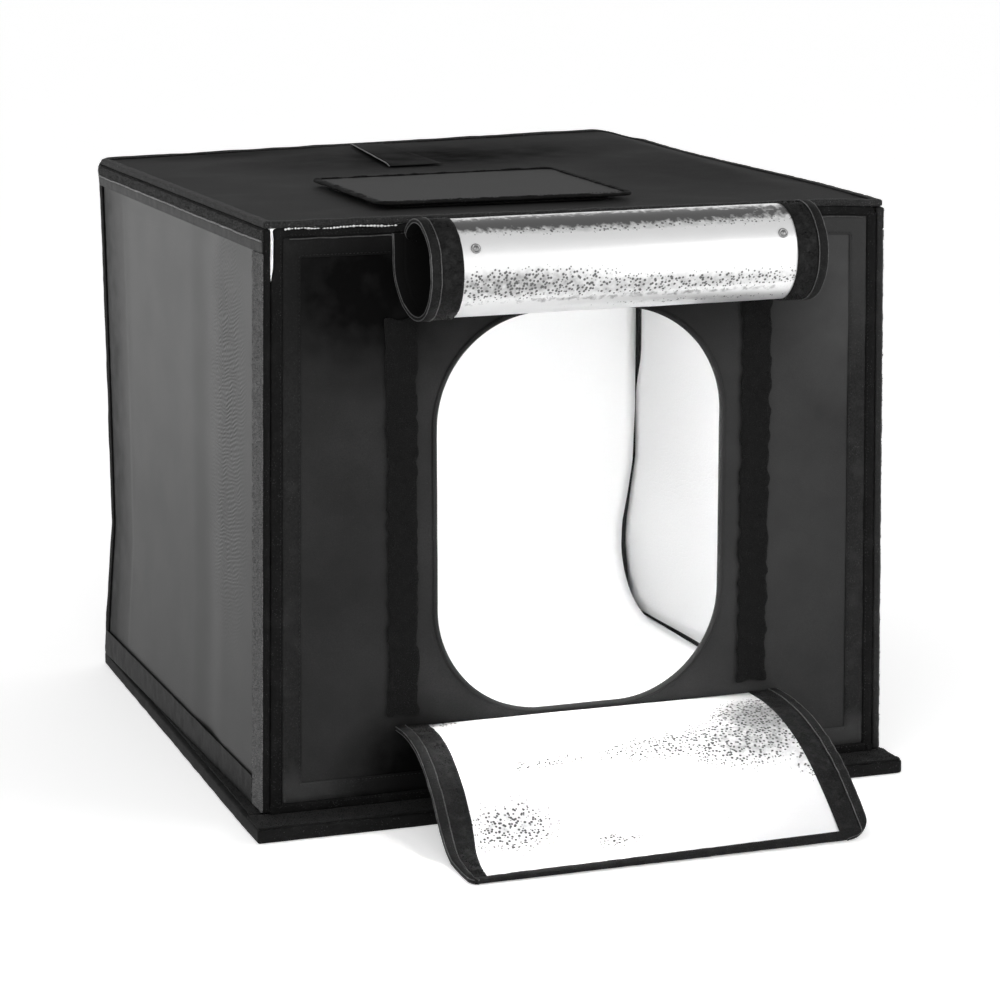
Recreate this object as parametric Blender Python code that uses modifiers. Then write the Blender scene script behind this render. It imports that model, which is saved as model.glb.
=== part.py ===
"""Light tent cube: a folding photo box of fabric-covered boards.

Six square panels are bound with black cloth and sewn or taped to each other.
The front panel has a window with one silver-faced flap rolled up over it and
one hanging down to the table. The top panel has a covered shooting hole and a
covered cable slit. A lamp bar and a white backdrop are inside.

Metres. +X is right, +Y is back, +Z is up. The front panel faces -Y. The origin
is on the table, below the middle of the tent.
"""

import math

import bmesh
import bpy
from mathutils import Matrix, Vector

# The whole tent
TENT_WIDTH = 0.600
TENT_DEPTH = 0.600
TENT_HEIGHT = 0.543
SEAM_GAP = 0.0003

# Panels: a board with a cloth binding round it and a bright lining inside
WALL_THICKNESS = 0.006
BOARD_THICKNESS = 0.005
BINDING_WIDTH = 0.008
BINDING_ROUND = 0.0012
LINING_THICKNESS = 0.0012
LINING_MARGIN = 0.004
TAPE_THICKNESS = 0.0015
SQUARE_CORNER = 0.003
SOFT_CORNER = 0.012

# Base
BASE_THICKNESS = 0.012
BASE_FRONT_LEDGE = 0.030
BASE_SIDE_LEDGE = 0.010
BASE_REAR_LEDGE = 0.0075
BASE_CORNER = 0.006
BASE_TAPE_INSET = 0.0015
BASE_TAPE_LAP = 0.005

# Hinge between the base and the back
BACK_HINGE_OUTSET = 0.002
BACK_HINGE_SINK = 0.002

# Front panel and its window
FRONT_SIDE_SLACK = 0.003
FRONT_HEM_WIDTH = 0.0175
FRONT_HEM_THICKNESS = 0.0056
WINDOW_SIDE_MARGIN = 0.1545
WINDOW_HEAD_MARGIN = 0.0837
WINDOW_FOOT = 0.088
WINDOW_HEAD_STRAIGHT = 0.073
WINDOW_BINDING_WIDTH = 0.0025
FRONT_TAPE_WIDTH = 0.031
FRONT_TAPE_OUTSET = 0.034
FRONT_TAPE_FOOT_RISE = 0.0055
FRONT_TAPE_HEAD_RISE = 0.002

# Side panels
SIDE_TOP_TAPE_WIDTH = 0.020
SIDE_FRONT_TAPE_WIDTH = 0.032
SIDE_HEM_WIDTH = 0.025
SIDE_HEM_THICKNESS = 0.0010
SIDE_STRIP_MARGIN = 0.0012

# Top panel, its shooting hole and its cable slit
HOLE_WIDTH = 0.205
HOLE_DEPTH = 0.155
HOLE_CORNER = 0.020
HOLE_BINDING_WIDTH = 0.0025
HOLE_FRONT_SETBACK = 0.0825
HOLE_SHIFT = -0.050
SLIT_WIDTH = 0.010
SLIT_LENGTH = 0.170
SLIT_REAR_SETBACK = 0.028
SLIT_SHIFT = -0.018

# Flap over the shooting hole
TOP_FLAP_SIDE_LAP = 0.020
TOP_FLAP_END_LAP = 0.0275
TOP_FLAP_THICKNESS = 0.0022
TOP_FLAP_HEM_WIDTH = 0.008
TOP_FLAP_CORNER = 0.012
TOP_TAPE_WIDTH = 0.018
TOP_TAPE_END_GAP = 0.0225
TOP_TAPE_THICKNESS = 0.0012

# Flap over the cable slit
CABLE_FLAP_WIDTH = 0.045
CABLE_FLAP_END_LAP = 0.015
CABLE_FLAP_THICKNESS = 0.0015
CABLE_FLAP_CORNER = 0.004
CABLE_FLAP_REACH = 0.017

# Window flaps
FLAP_SIDE_LAP = 0.0515
FLAP_SHIFT = 0.010
FLAP_BINDING_WIDTH = 0.009
FLAP_TAPE_WIDTH = 0.0205
FOIL_THICKNESS = 0.0010
BACKING_THICKNESS = 0.0012
FLAP_BINDING_LIP = 0.0001
FLAP_EDGE_GAP = 0.0006
ROLL_RADIUS = 0.0428
ROLL_DROP = 0.0312
ROLL_SEAM_DROP = 0.006
ROLL_TIGHTENING = 0.004
ROLL_START_TURN = math.radians(-10.0)
ROLL_SWEEP = math.radians(320.0)
ROLL_TIGHTEN_FROM_SHARE = 0.60
ROLL_STEPS = 44
LOWER_FLAP_DROP = 0.0065
LOWER_FLAP_REACH = 0.2065
LOWER_FLAP_STEPS = 22
LOWER_FLAP_COLUMNS = 6
SNAP_RADIUS = 0.0045
SNAP_HEIGHT = 0.0018
SNAP_TAPER = 0.0012
SNAP_INSET = 0.012
SNAP_LEFT_SHIFT = 0.006
SNAP_TURN = math.radians(152.0)

# How far out, and how high, the two edges of the lower flap run
LOWER_LEFT_EDGE_SHARES = [
    (0.00, 1.00), (0.15, 1.00), (0.31, 0.90), (0.47, 0.62), (0.58, 0.31),
    (0.70, 0.06), (0.84, 0.00), (1.00, 0.00),
]
LOWER_RIGHT_EDGE_SHARES = [
    (0.00, 1.00), (0.16, 1.00), (0.33, 0.95), (0.51, 0.83), (0.66, 0.66),
    (0.79, 0.45), (0.90, 0.23), (0.97, 0.07), (1.00, 0.00),
]

# Backdrop
BACKDROP_SIDE_GAP = 0.015
BACKDROP_THICKNESS = 0.0010
BACKDROP_HEAD_DROP = 0.022
BACKDROP_BEND = 0.070
BACKDROP_FRONT_SETBACK = 0.016
BACKDROP_BEND_STEPS = 10
STRIP_END_GAP = 0.015
STRIP_HEIGHT = 0.022
STRIP_THICKNESS = 0.0012
STRIP_DROP = 0.003

# Lamp bar under the top
LAMP_END_GAP = 0.050
LAMP_WIDTH = 0.024
LAMP_HEIGHT = 0.010
LAMP_WALL = 0.0012
LAMP_FRONT_SETBACK = 0.050
LAMP_BOARD_THICKNESS = 0.0016
LAMP_DIFFUSER_THICKNESS = 0.0015
LAMP_CAP_LENGTH = 0.003
LAMP_STRAP_LENGTH = 0.030
LAMP_STRAP_THICKNESS = 0.0015
LAMP_STRAP_PLACE_SHARE = 0.35
CHIP_SIZE = 0.0035
CHIP_HEIGHT = 0.0010
CHIP_COUNT = 24
INLET_RADIUS = 0.0042
INLET_BORE_RADIUS = 0.00295
INLET_LENGTH = 0.009

# Smoothness
CORNER_STEPS = 4
WIDE_CORNER_STEPS = 8
ROUND_STEPS = 20
SLOPE_SHARE = 0.02

# Places worked out from the sizes
HALF_WIDTH = TENT_WIDTH / 2
FRONT_Y = -TENT_DEPTH / 2
BACK_Y = TENT_DEPTH / 2
FLOOR_TAPE_TOP = BASE_THICKNESS + SEAM_GAP + TAPE_THICKNESS
WALL_FOOT = FLOOR_TAPE_TOP + SEAM_GAP
BACK_FOOT = BASE_THICKNESS + SEAM_GAP + SEAM_GAP
WALL_HEAD = TENT_HEIGHT - WALL_THICKNESS - SEAM_GAP
PANEL_REAR = BACK_Y - WALL_THICKNESS - SEAM_GAP
FRONT_HALF_WIDTH = HALF_WIDTH - WALL_THICKNESS - FRONT_SIDE_SLACK
WINDOW_WIDTH = 2 * (FRONT_HALF_WIDTH - WINDOW_SIDE_MARGIN)
WINDOW_HEAD = WALL_HEAD - WINDOW_HEAD_MARGIN
WINDOW_CORNER = (WINDOW_WIDTH - WINDOW_HEAD_STRAIGHT) / 2
FRONT_TAPE_SPACING = WINDOW_WIDTH + 2 * FRONT_TAPE_OUTSET
FRONT_TAPE_FOOT = WINDOW_FOOT + FRONT_TAPE_FOOT_RISE
FRONT_TAPE_HEAD = WINDOW_HEAD + FRONT_TAPE_HEAD_RISE
LINING_DEPTH = WALL_THICKNESS + SEAM_GAP + LINING_THICKNESS
HOLE_FRONT_Y = FRONT_Y + HOLE_FRONT_SETBACK
HOLE_BACK_Y = HOLE_FRONT_Y + HOLE_DEPTH
TOP_FLAP_WIDTH = HOLE_WIDTH + 2 * TOP_FLAP_SIDE_LAP
TOP_FLAP_DEPTH = HOLE_DEPTH + 2 * TOP_FLAP_END_LAP
TOP_TAPE_LENGTH = TOP_FLAP_WIDTH - 2 * TOP_TAPE_END_GAP
TOP_TAPE_LEVEL = TENT_HEIGHT + SEAM_GAP
TOP_FLAP_UNDER = TOP_TAPE_LEVEL + 2 * (TOP_TAPE_THICKNESS + SEAM_GAP)
TOP_FLAP_BACK_Y = HOLE_BACK_Y + TOP_FLAP_END_LAP
FLAP_WIDTH = WINDOW_WIDTH + 2 * FLAP_SIDE_LAP
FLAP_LEFT = FLAP_SHIFT - FLAP_WIDTH / 2
FLAP_RIGHT = FLAP_SHIFT + FLAP_WIDTH / 2
FOIL_OFFSET = (SEAM_GAP + FOIL_THICKNESS) / 2
BACKING_OFFSET = -(SEAM_GAP + BACKING_THICKNESS) / 2
FLAP_TAPE_OFFSET = FOIL_OFFSET + (FOIL_THICKNESS + TAPE_THICKNESS) / 2 + SEAM_GAP
FLAP_OUTSIDE = FLAP_TAPE_OFFSET + TAPE_THICKNESS / 2
FLAP_INSIDE = BACKING_OFFSET - BACKING_THICKNESS / 2 - FLAP_BINDING_LIP
ROLL_WALL_Y = FRONT_Y - SEAM_GAP - FLAP_OUTSIDE
ROLL_CENTRE_Y = ROLL_WALL_Y - ROLL_RADIUS
ROLL_CENTRE_HEIGHT = WALL_HEAD - ROLL_DROP
ROLL_SEAM_HEIGHT = WALL_HEAD - ROLL_SEAM_DROP
LOWER_FLAP_ROOT = WINDOW_FOOT - LOWER_FLAP_DROP
LOWER_FLAP_HEEL = SEAM_GAP - FLAP_INSIDE
BACKDROP_WIDTH = TENT_WIDTH - 2 * BACKDROP_SIDE_GAP
STRIP_WIDTH = BACKDROP_WIDTH - 2 * STRIP_END_GAP
LAMP_LENGTH = TENT_WIDTH - 2 * LAMP_END_GAP
LAMP_CEILING = TENT_HEIGHT - LINING_DEPTH - 2 * SEAM_GAP - LAMP_STRAP_THICKNESS
LAMP_FLOOR = LAMP_CEILING - LAMP_HEIGHT
LAMP_Y = FRONT_Y + LAMP_FRONT_SETBACK
CABLE_FLAP_RIGHT = SLIT_SHIFT + CABLE_FLAP_REACH
CABLE_FLAP_LEFT = CABLE_FLAP_RIGHT - CABLE_FLAP_WIDTH
CABLE_FLAP_LENGTH = SLIT_LENGTH + 2 * CABLE_FLAP_END_LAP
SLIT_REAR_Y = PANEL_REAR - SLIT_REAR_SETBACK
SLIT_MIDDLE_Y = SLIT_REAR_Y - SLIT_LENGTH / 2

# Which way a flat piece faces: up, to the front, or to the side
FACING = {
    "up": Matrix.Identity(3),
    "front": Matrix(((1, 0, 0), (0, 0, -1), (0, 1, 0))),
    "side": Matrix(((0, 0, 1), (1, 0, 0), (0, 1, 0))),
}

# Colour, roughness and metallic value of each material
FINISHES = {
    "cover_cloth": ((0.030, 0.030, 0.032, 1.0), 0.75, 0.0),
    "binding_cloth": ((0.015, 0.015, 0.016, 1.0), 0.85, 0.0),
    "loop_tape": ((0.010, 0.010, 0.011, 1.0), 0.95, 0.0),
    "bright_lining": ((0.85, 0.85, 0.86, 1.0), 0.45, 0.0),
    "silver_foil": ((0.80, 0.80, 0.81, 1.0), 0.28, 0.9),
    "white_sheet": ((0.92, 0.92, 0.92, 1.0), 0.60, 0.0),
    "aluminium": ((0.70, 0.71, 0.72, 1.0), 0.35, 1.0),
    "lamp_board": ((0.88, 0.88, 0.86, 1.0), 0.40, 0.0),
    "diffuser": ((0.93, 0.93, 0.93, 1.0), 0.35, 0.0),
    "black_plastic": ((0.020, 0.020, 0.020, 1.0), 0.45, 0.0),
    "snap_metal": ((0.75, 0.75, 0.76, 1.0), 0.25, 1.0),
}


def clear_scene():
    for item in list(bpy.data.objects):
        bpy.data.objects.remove(item, do_unlink=True)


def new_collection(name):
    collection = bpy.data.collections.new(name)
    bpy.context.scene.collection.children.link(collection)
    return collection


def paint(piece, finish):
    colour, roughness, metallic = FINISHES[finish]
    material = bpy.data.materials.new(piece.name + "_" + finish)
    material.use_nodes = True
    shader = material.node_tree.nodes["Principled BSDF"]
    shader.inputs["Base Color"].default_value = colour
    shader.inputs["Roughness"].default_value = roughness
    shader.inputs["Metallic"].default_value = metallic
    piece.data.materials.append(material)


def hinge_line(name, place, carrier=None):
    """An empty on a hinge's axis. What moves with the hinge is its child."""
    axis = bpy.data.objects.new(name, None)
    PARTS.objects.link(axis)
    axis.location = place
    if carrier:
        bpy.context.view_layer.update()
        axis.parent = carrier
        axis.matrix_parent_inverse = carrier.matrix_world.inverted()
    bpy.context.view_layer.update()
    return axis


def place_piece(piece, carrier, finish):
    PARTS.objects.link(piece)
    paint(piece, finish)
    if carrier:
        piece.parent = carrier
        piece.matrix_parent_inverse = carrier.matrix_world.inverted()
    return piece


def rounded_outline(left, right, low, high, radii, steps=CORNER_STEPS):
    """A rectangle's outline. The radii run low left, low right, high right, high left."""
    corners = (
        (left, low, 1, 1, math.pi),
        (right, low, -1, 1, math.pi * 1.5),
        (right, high, -1, -1, 0.0),
        (left, high, 1, -1, math.pi / 2),
    )
    points = []
    for (across, up, inward, upward, start), radius in zip(corners, radii):
        centre = (across + inward * radius, up + upward * radius)
        for step in range(steps + 1):
            turn = start + math.pi / 2 * step / steps
            points.append((centre[0] + radius * math.cos(turn), centre[1] + radius * math.sin(turn)))
    return points


def inset_bounds(bounds, inset):
    left, right, low, high = bounds
    return left + inset, right - inset, low + inset, high - inset


def inset_radii(radii, inset):
    """Corner radii of an outline that runs inside another at an even distance."""
    return [max(radius - inset, SQUARE_CORNER / 2) for radius in radii]


def round_outline(across, up, radius, steps=ROUND_STEPS):
    turns = [math.tau * step / steps for step in range(steps)]
    return [(across + radius * math.cos(turn), up + radius * math.sin(turn)) for turn in turns]


def flat_piece(name, outlines, thickness, middle, facing, carrier, finish, edge=0.0):
    """A flat outline with a thickness. Outlines inside another one are holes."""
    curve = bpy.data.curves.new(name, "CURVE")
    curve.dimensions = "2D"
    curve.fill_mode = "BOTH"
    for outline in outlines:
        spline = curve.splines.new("POLY")
        spline.points.add(len(outline) - 1)
        for point, (across, up) in zip(spline.points, outline):
            point.co = (across, up, 0.0, 1.0)
        spline.use_cyclic_u = True
    curve.extrude = thickness / 2 - edge
    curve.bevel_depth = edge
    curve.bevel_resolution = 1
    curve.offset = -edge
    piece = bpy.data.objects.new(name, curve)
    piece.matrix_world = Matrix.Translation(middle) @ FACING[facing].to_4x4()
    return place_piece(piece, carrier, finish)


def boxes_mesh(name, boxes):
    """A mesh of boxes, each given as its middle and its three sizes."""
    shape = bmesh.new()
    for middle, sizes in boxes:
        spread = Matrix.Diagonal((*sizes, 1.0))
        bmesh.ops.create_cube(shape, size=1.0, matrix=Matrix.Translation(middle) @ spread)
    mesh = bpy.data.meshes.new(name)
    shape.to_mesh(mesh)
    shape.free()
    return mesh


def box_piece(name, middle, sizes, carrier, finish, edge=0.0):
    piece = bpy.data.objects.new(name, boxes_mesh(name, [(middle, sizes)]))
    place_piece(piece, carrier, finish)
    if edge:
        bevel = piece.modifiers.new("rounded_edges", "BEVEL")
        bevel.width = edge
        bevel.segments = 2
    return piece


def join_boxes(piece, name, boxes):
    """Add boxes that stand on a piece to its solid."""
    cutter = bpy.data.objects.new(name, boxes_mesh(name, boxes))
    CUTTERS.objects.link(cutter)
    cutter.hide_render = True
    cutter.display_type = "WIRE"
    cutter.parent = piece.parent
    cutter.matrix_parent_inverse = piece.matrix_parent_inverse
    union = piece.modifiers.new(name, "BOOLEAN")
    union.operation = "UNION"
    union.solver = "EXACT"
    union.object = cutter


def path_lengths(path):
    lengths = [0.0]
    for (y, z), (next_y, next_z) in zip(path, path[1:]):
        lengths.append(lengths[-1] + math.hypot(next_y - y, next_z - z))
    return lengths


def path_point(path, share):
    """The point at a share of a path's length."""
    lengths = path_lengths(path)
    wanted = share * lengths[-1]
    for index in range(len(path) - 1):
        if wanted <= lengths[index + 1] or index == len(path) - 2:
            run = lengths[index + 1] - lengths[index]
            part = (wanted - lengths[index]) / run
            (y, z), (next_y, next_z) = path[index], path[index + 1]
            return y + (next_y - y) * part, z + (next_z - z) * part
    return path[-1]


def point_beside(path, share, distance):
    """The point beside a path at an even distance, on its left when positive."""
    y, z = path_point(path, share)
    before = path_point(path, max(share - SLOPE_SHARE, 0.0))
    after = path_point(path, min(share + SLOPE_SHARE, 1.0))
    run_y, run_z = after[0] - before[0], after[1] - before[1]
    run = math.hypot(run_y, run_z)
    return y - distance * run_z / run, z + distance * run_y / run


def smooth_path(points, steps):
    """A smooth path through chosen points, with a number of even steps."""
    ends = [points[0]] + list(points) + [points[-1]]
    fine = []
    for index in range(1, len(ends) - 2):
        p0, p1, p2, p3 = (Vector(ends[index + shift]) for shift in (-1, 0, 1, 2))
        for step in range(steps):
            t = step / steps
            fine.append(0.5 * (2 * p1 + (p2 - p0) * t + (2 * p0 - 5 * p1 + 4 * p2 - p3) * t ** 2
                               + (3 * p1 - p0 - 3 * p2 + p3) * t ** 3))
    fine.append(Vector(points[-1]))
    fine = [tuple(point) for point in fine]
    return [path_point(fine, step / steps) for step in range(steps + 1)]


def sheet_piece(name, edges, offset, across_marks, along_marks, thickness, carrier, finish, is_kept=None):
    """A sheet beside two edge paths, each an X and a path of Y and Z points.

    The marks are shares across and along the sheet. is_kept says which of the
    fields between the marks are cloth.
    """
    (start_x, start_path), (end_x, end_path) = edges
    starts = [point_beside(start_path, share, offset) for share in along_marks]
    ends = [point_beside(end_path, share, offset) for share in along_marks]
    shape = bmesh.new()
    corners = {}

    def corner(i, j):
        if (i, j) not in corners:
            share = across_marks[i]
            y = starts[j][0] + (ends[j][0] - starts[j][0]) * share
            z = starts[j][1] + (ends[j][1] - starts[j][1]) * share
            corners[i, j] = shape.verts.new((start_x + (end_x - start_x) * share, y, z))
        return corners[i, j]

    for i in range(len(across_marks) - 1):
        for j in range(len(along_marks) - 1):
            if is_kept is None or is_kept(i, j):
                shape.faces.new((corner(i, j), corner(i + 1, j), corner(i + 1, j + 1), corner(i, j + 1)))
    mesh = bpy.data.meshes.new(name)
    shape.to_mesh(mesh)
    shape.free()
    piece = place_piece(bpy.data.objects.new(name, mesh), carrier, finish)
    solid = piece.modifiers.new("cloth_thickness", "SOLIDIFY")
    solid.thickness = thickness
    solid.offset = 0.0
    solid.use_even_offset = True
    return piece


def spread_marks(start, end, steps):
    return [start + (end - start) * step / steps for step in range(steps + 1)]


def bound_panel(name, bounds, radii, middle, facing, carrier, holes=()):
    """A covered board and the cloth binding round its edge."""
    steps = WIDE_CORNER_STEPS if max(radii) > SQUARE_CORNER else CORNER_STEPS
    outer = rounded_outline(*bounds, radii, steps)
    inner_bounds = inset_bounds(bounds, BINDING_WIDTH)
    inner = rounded_outline(*inner_bounds, inset_radii(radii, BINDING_WIDTH), steps)
    flat_piece(name + "_binding", [outer, inner], WALL_THICKNESS, middle, facing, carrier,
               "binding_cloth", BINDING_ROUND)
    board_inset = BINDING_WIDTH + SEAM_GAP
    board_bounds = inset_bounds(bounds, board_inset)
    board = rounded_outline(*board_bounds, inset_radii(radii, board_inset), steps)
    flat_piece(name + "_panel", [board, *holes], BOARD_THICKNESS, middle, facing, carrier, "cover_cloth")


def build_base():
    left, right = -HALF_WIDTH - BASE_SIDE_LEDGE, HALF_WIDTH + BASE_SIDE_LEDGE
    front, rear = FRONT_Y - BASE_FRONT_LEDGE, BACK_Y + BASE_REAR_LEDGE
    bounds = (left, right, front, rear)
    radii = [BASE_CORNER] * 4
    middle = (0.0, 0.0, BASE_THICKNESS / 2)
    outer = rounded_outline(*bounds, radii)
    inner = rounded_outline(*inset_bounds(bounds, BINDING_WIDTH), inset_radii(radii, BINDING_WIDTH))
    flat_piece("base_binding", [outer, inner], BASE_THICKNESS, middle, "up", None,
               "binding_cloth", BINDING_ROUND)
    board_inset = BINDING_WIDTH + SEAM_GAP
    board = rounded_outline(*inset_bounds(bounds, board_inset), inset_radii(radii, board_inset))
    flat_piece("base_board", [board], BASE_THICKNESS, middle, "up", None, "cover_cloth")
    tape_level = BASE_THICKNESS + SEAM_GAP + TAPE_THICKNESS / 2
    tape_front, tape_rear = front + BASE_TAPE_INSET, FRONT_Y + WALL_THICKNESS
    tape = rounded_outline(left + BASE_TAPE_INSET, right - BASE_TAPE_INSET, tape_front, tape_rear,
                           [BASE_CORNER / 2] * 4)
    flat_piece("base_front_tape", [tape], TAPE_THICKNESS, (0.0, 0.0, tape_level), "up", None, "loop_tape")
    side_width = WALL_THICKNESS + BASE_TAPE_INSET + BASE_TAPE_LAP
    side_front, side_rear = tape_rear + SEAM_GAP, PANEL_REAR - LINING_DEPTH
    side_middle_x = HALF_WIDTH - WALL_THICKNESS - BASE_TAPE_INSET + side_width / 2
    for name, side in (("base_tape_left", -1), ("base_tape_right", 1)):
        middle = (side * side_middle_x, (side_front + side_rear) / 2, tape_level)
        box_piece(name, middle, (side_width, side_rear - side_front, TAPE_THICKNESS), None, "loop_tape")
    lining_half = HALF_WIDTH - WALL_THICKNESS - BASE_TAPE_INSET - SEAM_GAP
    lining = rounded_outline(-lining_half, lining_half, side_front, side_rear, [SQUARE_CORNER] * 4)
    lining_level = BASE_THICKNESS + SEAM_GAP + LINING_THICKNESS / 2
    flat_piece("base_lining", [lining], LINING_THICKNESS, (0.0, 0.0, lining_level), "up", None,
               "bright_lining")


def build_back(carrier):
    bounds = (-HALF_WIDTH, HALF_WIDTH, BACK_FOOT, TENT_HEIGHT)
    radii = [SQUARE_CORNER, SQUARE_CORNER, SOFT_CORNER, SOFT_CORNER]
    middle = (0.0, BACK_Y - WALL_THICKNESS / 2, 0.0)
    bound_panel("back", bounds, radii, middle, "front", carrier)
    lining_half = HALF_WIDTH - LINING_DEPTH - SEAM_GAP - LINING_MARGIN
    lining = rounded_outline(-lining_half, lining_half, WALL_FOOT, WALL_HEAD - LINING_THICKNESS - SEAM_GAP,
                             [SQUARE_CORNER] * 4)
    lining_y = BACK_Y - LINING_DEPTH + LINING_THICKNESS / 2
    flat_piece("back_lining", [lining], LINING_THICKNESS, (0.0, lining_y, 0.0), "front", carrier,
               "bright_lining")


def build_side(name, side, carrier):
    """The left (side -1) or right (side 1) panel with its tapes and hem."""
    bounds = (FRONT_Y, PANEL_REAR, WALL_FOOT, WALL_HEAD)
    radii = [SQUARE_CORNER, SQUARE_CORNER, SOFT_CORNER, SQUARE_CORNER]
    bound_panel(name, bounds, radii, (side * (HALF_WIDTH - WALL_THICKNESS / 2), 0.0, 0.0), "side", carrier)
    lining_front = FRONT_Y + LINING_DEPTH + SEAM_GAP
    lining_rear = PANEL_REAR - LINING_THICKNESS - SEAM_GAP
    lining = rounded_outline(lining_front, lining_rear, WALL_FOOT, WALL_HEAD - LINING_THICKNESS,
                             [SQUARE_CORNER, SQUARE_CORNER, SOFT_CORNER, SQUARE_CORNER])
    lining_x = side * (HALF_WIDTH - LINING_DEPTH + LINING_THICKNESS / 2)
    flat_piece(name + "_lining", [lining], LINING_THICKNESS, (lining_x, 0.0, 0.0), "side", carrier,
               "bright_lining")
    front, rear = FRONT_Y + SIDE_STRIP_MARGIN, PANEL_REAR - SIDE_STRIP_MARGIN
    foot, head = WALL_FOOT + SIDE_STRIP_MARGIN, WALL_HEAD - SIDE_STRIP_MARGIN
    head_foot = head - SIDE_TOP_TAPE_WIDTH
    front_rear = front + SIDE_FRONT_TAPE_WIDTH
    tape_x = side * (HALF_WIDTH + SEAM_GAP + TAPE_THICKNESS / 2)
    top_tape = rounded_outline(front, rear, head_foot, head,
                               [SQUARE_CORNER / 2, SQUARE_CORNER / 2, SIDE_TOP_TAPE_WIDTH / 2, SQUARE_CORNER])
    flat_piece(name + "_top_tape", [top_tape], TAPE_THICKNESS, (tape_x, 0.0, 0.0), "side", carrier,
               "loop_tape")
    front_tape = rounded_outline(front, front_rear, foot, head_foot - SEAM_GAP, [SQUARE_CORNER / 2] * 4)
    flat_piece(name + "_front_tape", [front_tape], TAPE_THICKNESS, (tape_x, 0.0, 0.0), "side", carrier,
               "loop_tape")
    hem = rounded_outline(front_rear + SEAM_GAP, rear, foot, foot + SIDE_HEM_WIDTH, [SQUARE_CORNER / 2] * 4)
    hem_x = side * (HALF_WIDTH + SEAM_GAP + SIDE_HEM_THICKNESS / 2)
    flat_piece(name + "_bottom_hem", [hem], SIDE_HEM_THICKNESS, (hem_x, 0.0, 0.0), "side", carrier,
               "binding_cloth")


def hole_outline(grow):
    """The shooting hole's outline, grown by a distance."""
    left, right = HOLE_SHIFT - HOLE_WIDTH / 2 - grow, HOLE_SHIFT + HOLE_WIDTH / 2 + grow
    return rounded_outline(left, right, HOLE_FRONT_Y - grow, HOLE_BACK_Y + grow, [HOLE_CORNER + grow] * 4)


def slit_outline():
    left, right = SLIT_SHIFT - SLIT_WIDTH / 2, SLIT_SHIFT + SLIT_WIDTH / 2
    return rounded_outline(left, right, SLIT_REAR_Y - SLIT_LENGTH, SLIT_REAR_Y, [SLIT_WIDTH / 3] * 4)


def build_top(carrier):
    bounds = (-HALF_WIDTH, HALF_WIDTH, FRONT_Y, PANEL_REAR)
    radii = [SQUARE_CORNER, SQUARE_CORNER, SOFT_CORNER, SOFT_CORNER]
    middle = (0.0, 0.0, TENT_HEIGHT - WALL_THICKNESS / 2)
    board_hole = hole_outline(HOLE_BINDING_WIDTH + SEAM_GAP)
    bound_panel("top", bounds, radii, middle, "up", carrier, [board_hole, slit_outline()])
    hole_binding = [hole_outline(HOLE_BINDING_WIDTH), hole_outline(0.0)]
    flat_piece("shooting_hole_binding", hole_binding, WALL_THICKNESS, middle, "up", carrier, "binding_cloth")
    half = HALF_WIDTH - LINING_DEPTH - SEAM_GAP
    rear = PANEL_REAR - LINING_THICKNESS - SEAM_GAP
    lining = rounded_outline(-half, half, FRONT_Y + LINING_DEPTH + SEAM_GAP, rear,
                             [SQUARE_CORNER, SQUARE_CORNER, SOFT_CORNER, SOFT_CORNER], WIDE_CORNER_STEPS)
    lining_level = TENT_HEIGHT - LINING_DEPTH + LINING_THICKNESS / 2
    flat_piece("top_lining", [lining, board_hole, slit_outline()], LINING_THICKNESS,
               (0.0, 0.0, lining_level), "up", carrier, "bright_lining")
    hole_tape("shooting_hole_tape", TOP_TAPE_LEVEL, carrier)


def hole_tape(name, foot, carrier):
    """The tape strip in front of the shooting hole, or the one on the flap that meets it."""
    hole_edge = HOLE_FRONT_Y - HOLE_BINDING_WIDTH - SEAM_GAP
    middle = (HOLE_SHIFT, hole_edge - TOP_TAPE_WIDTH / 2, foot + TOP_TAPE_THICKNESS / 2)
    box_piece(name, middle, (TOP_TAPE_LENGTH, TOP_TAPE_WIDTH, TOP_TAPE_THICKNESS), carrier, "loop_tape")


def build_top_flap(carrier):
    left, right = HOLE_SHIFT - TOP_FLAP_WIDTH / 2, HOLE_SHIFT + TOP_FLAP_WIDTH / 2
    bounds = (left, right, TOP_FLAP_BACK_Y - TOP_FLAP_DEPTH, TOP_FLAP_BACK_Y)
    radii = [TOP_FLAP_CORNER] * 4
    middle = (0.0, 0.0, TOP_FLAP_UNDER + TOP_FLAP_THICKNESS / 2)
    outer = rounded_outline(*bounds, radii)
    inner = rounded_outline(*inset_bounds(bounds, TOP_FLAP_HEM_WIDTH), inset_radii(radii, TOP_FLAP_HEM_WIDTH))
    flat_piece("top_flap_hem", [outer, inner], TOP_FLAP_THICKNESS, middle, "up", carrier, "binding_cloth")
    field_inset = TOP_FLAP_HEM_WIDTH + SEAM_GAP
    field = rounded_outline(*inset_bounds(bounds, field_inset), inset_radii(radii, field_inset))
    flat_piece("top_flap_sheet", [field], TOP_FLAP_THICKNESS, middle, "up", carrier, "cover_cloth")
    hole_tape("top_flap_tape", TOP_TAPE_LEVEL + TOP_TAPE_THICKNESS + SEAM_GAP, carrier)


def build_cable_flap(carrier):
    half = CABLE_FLAP_LENGTH / 2
    outline = rounded_outline(CABLE_FLAP_LEFT, CABLE_FLAP_RIGHT, SLIT_MIDDLE_Y - half, SLIT_MIDDLE_Y + half,
                              [CABLE_FLAP_CORNER] * 4)
    middle = (0.0, 0.0, TENT_HEIGHT + SEAM_GAP + CABLE_FLAP_THICKNESS / 2)
    flat_piece("cable_flap_sheet", [outline], CABLE_FLAP_THICKNESS, middle, "up", carrier, "cover_cloth")


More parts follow.
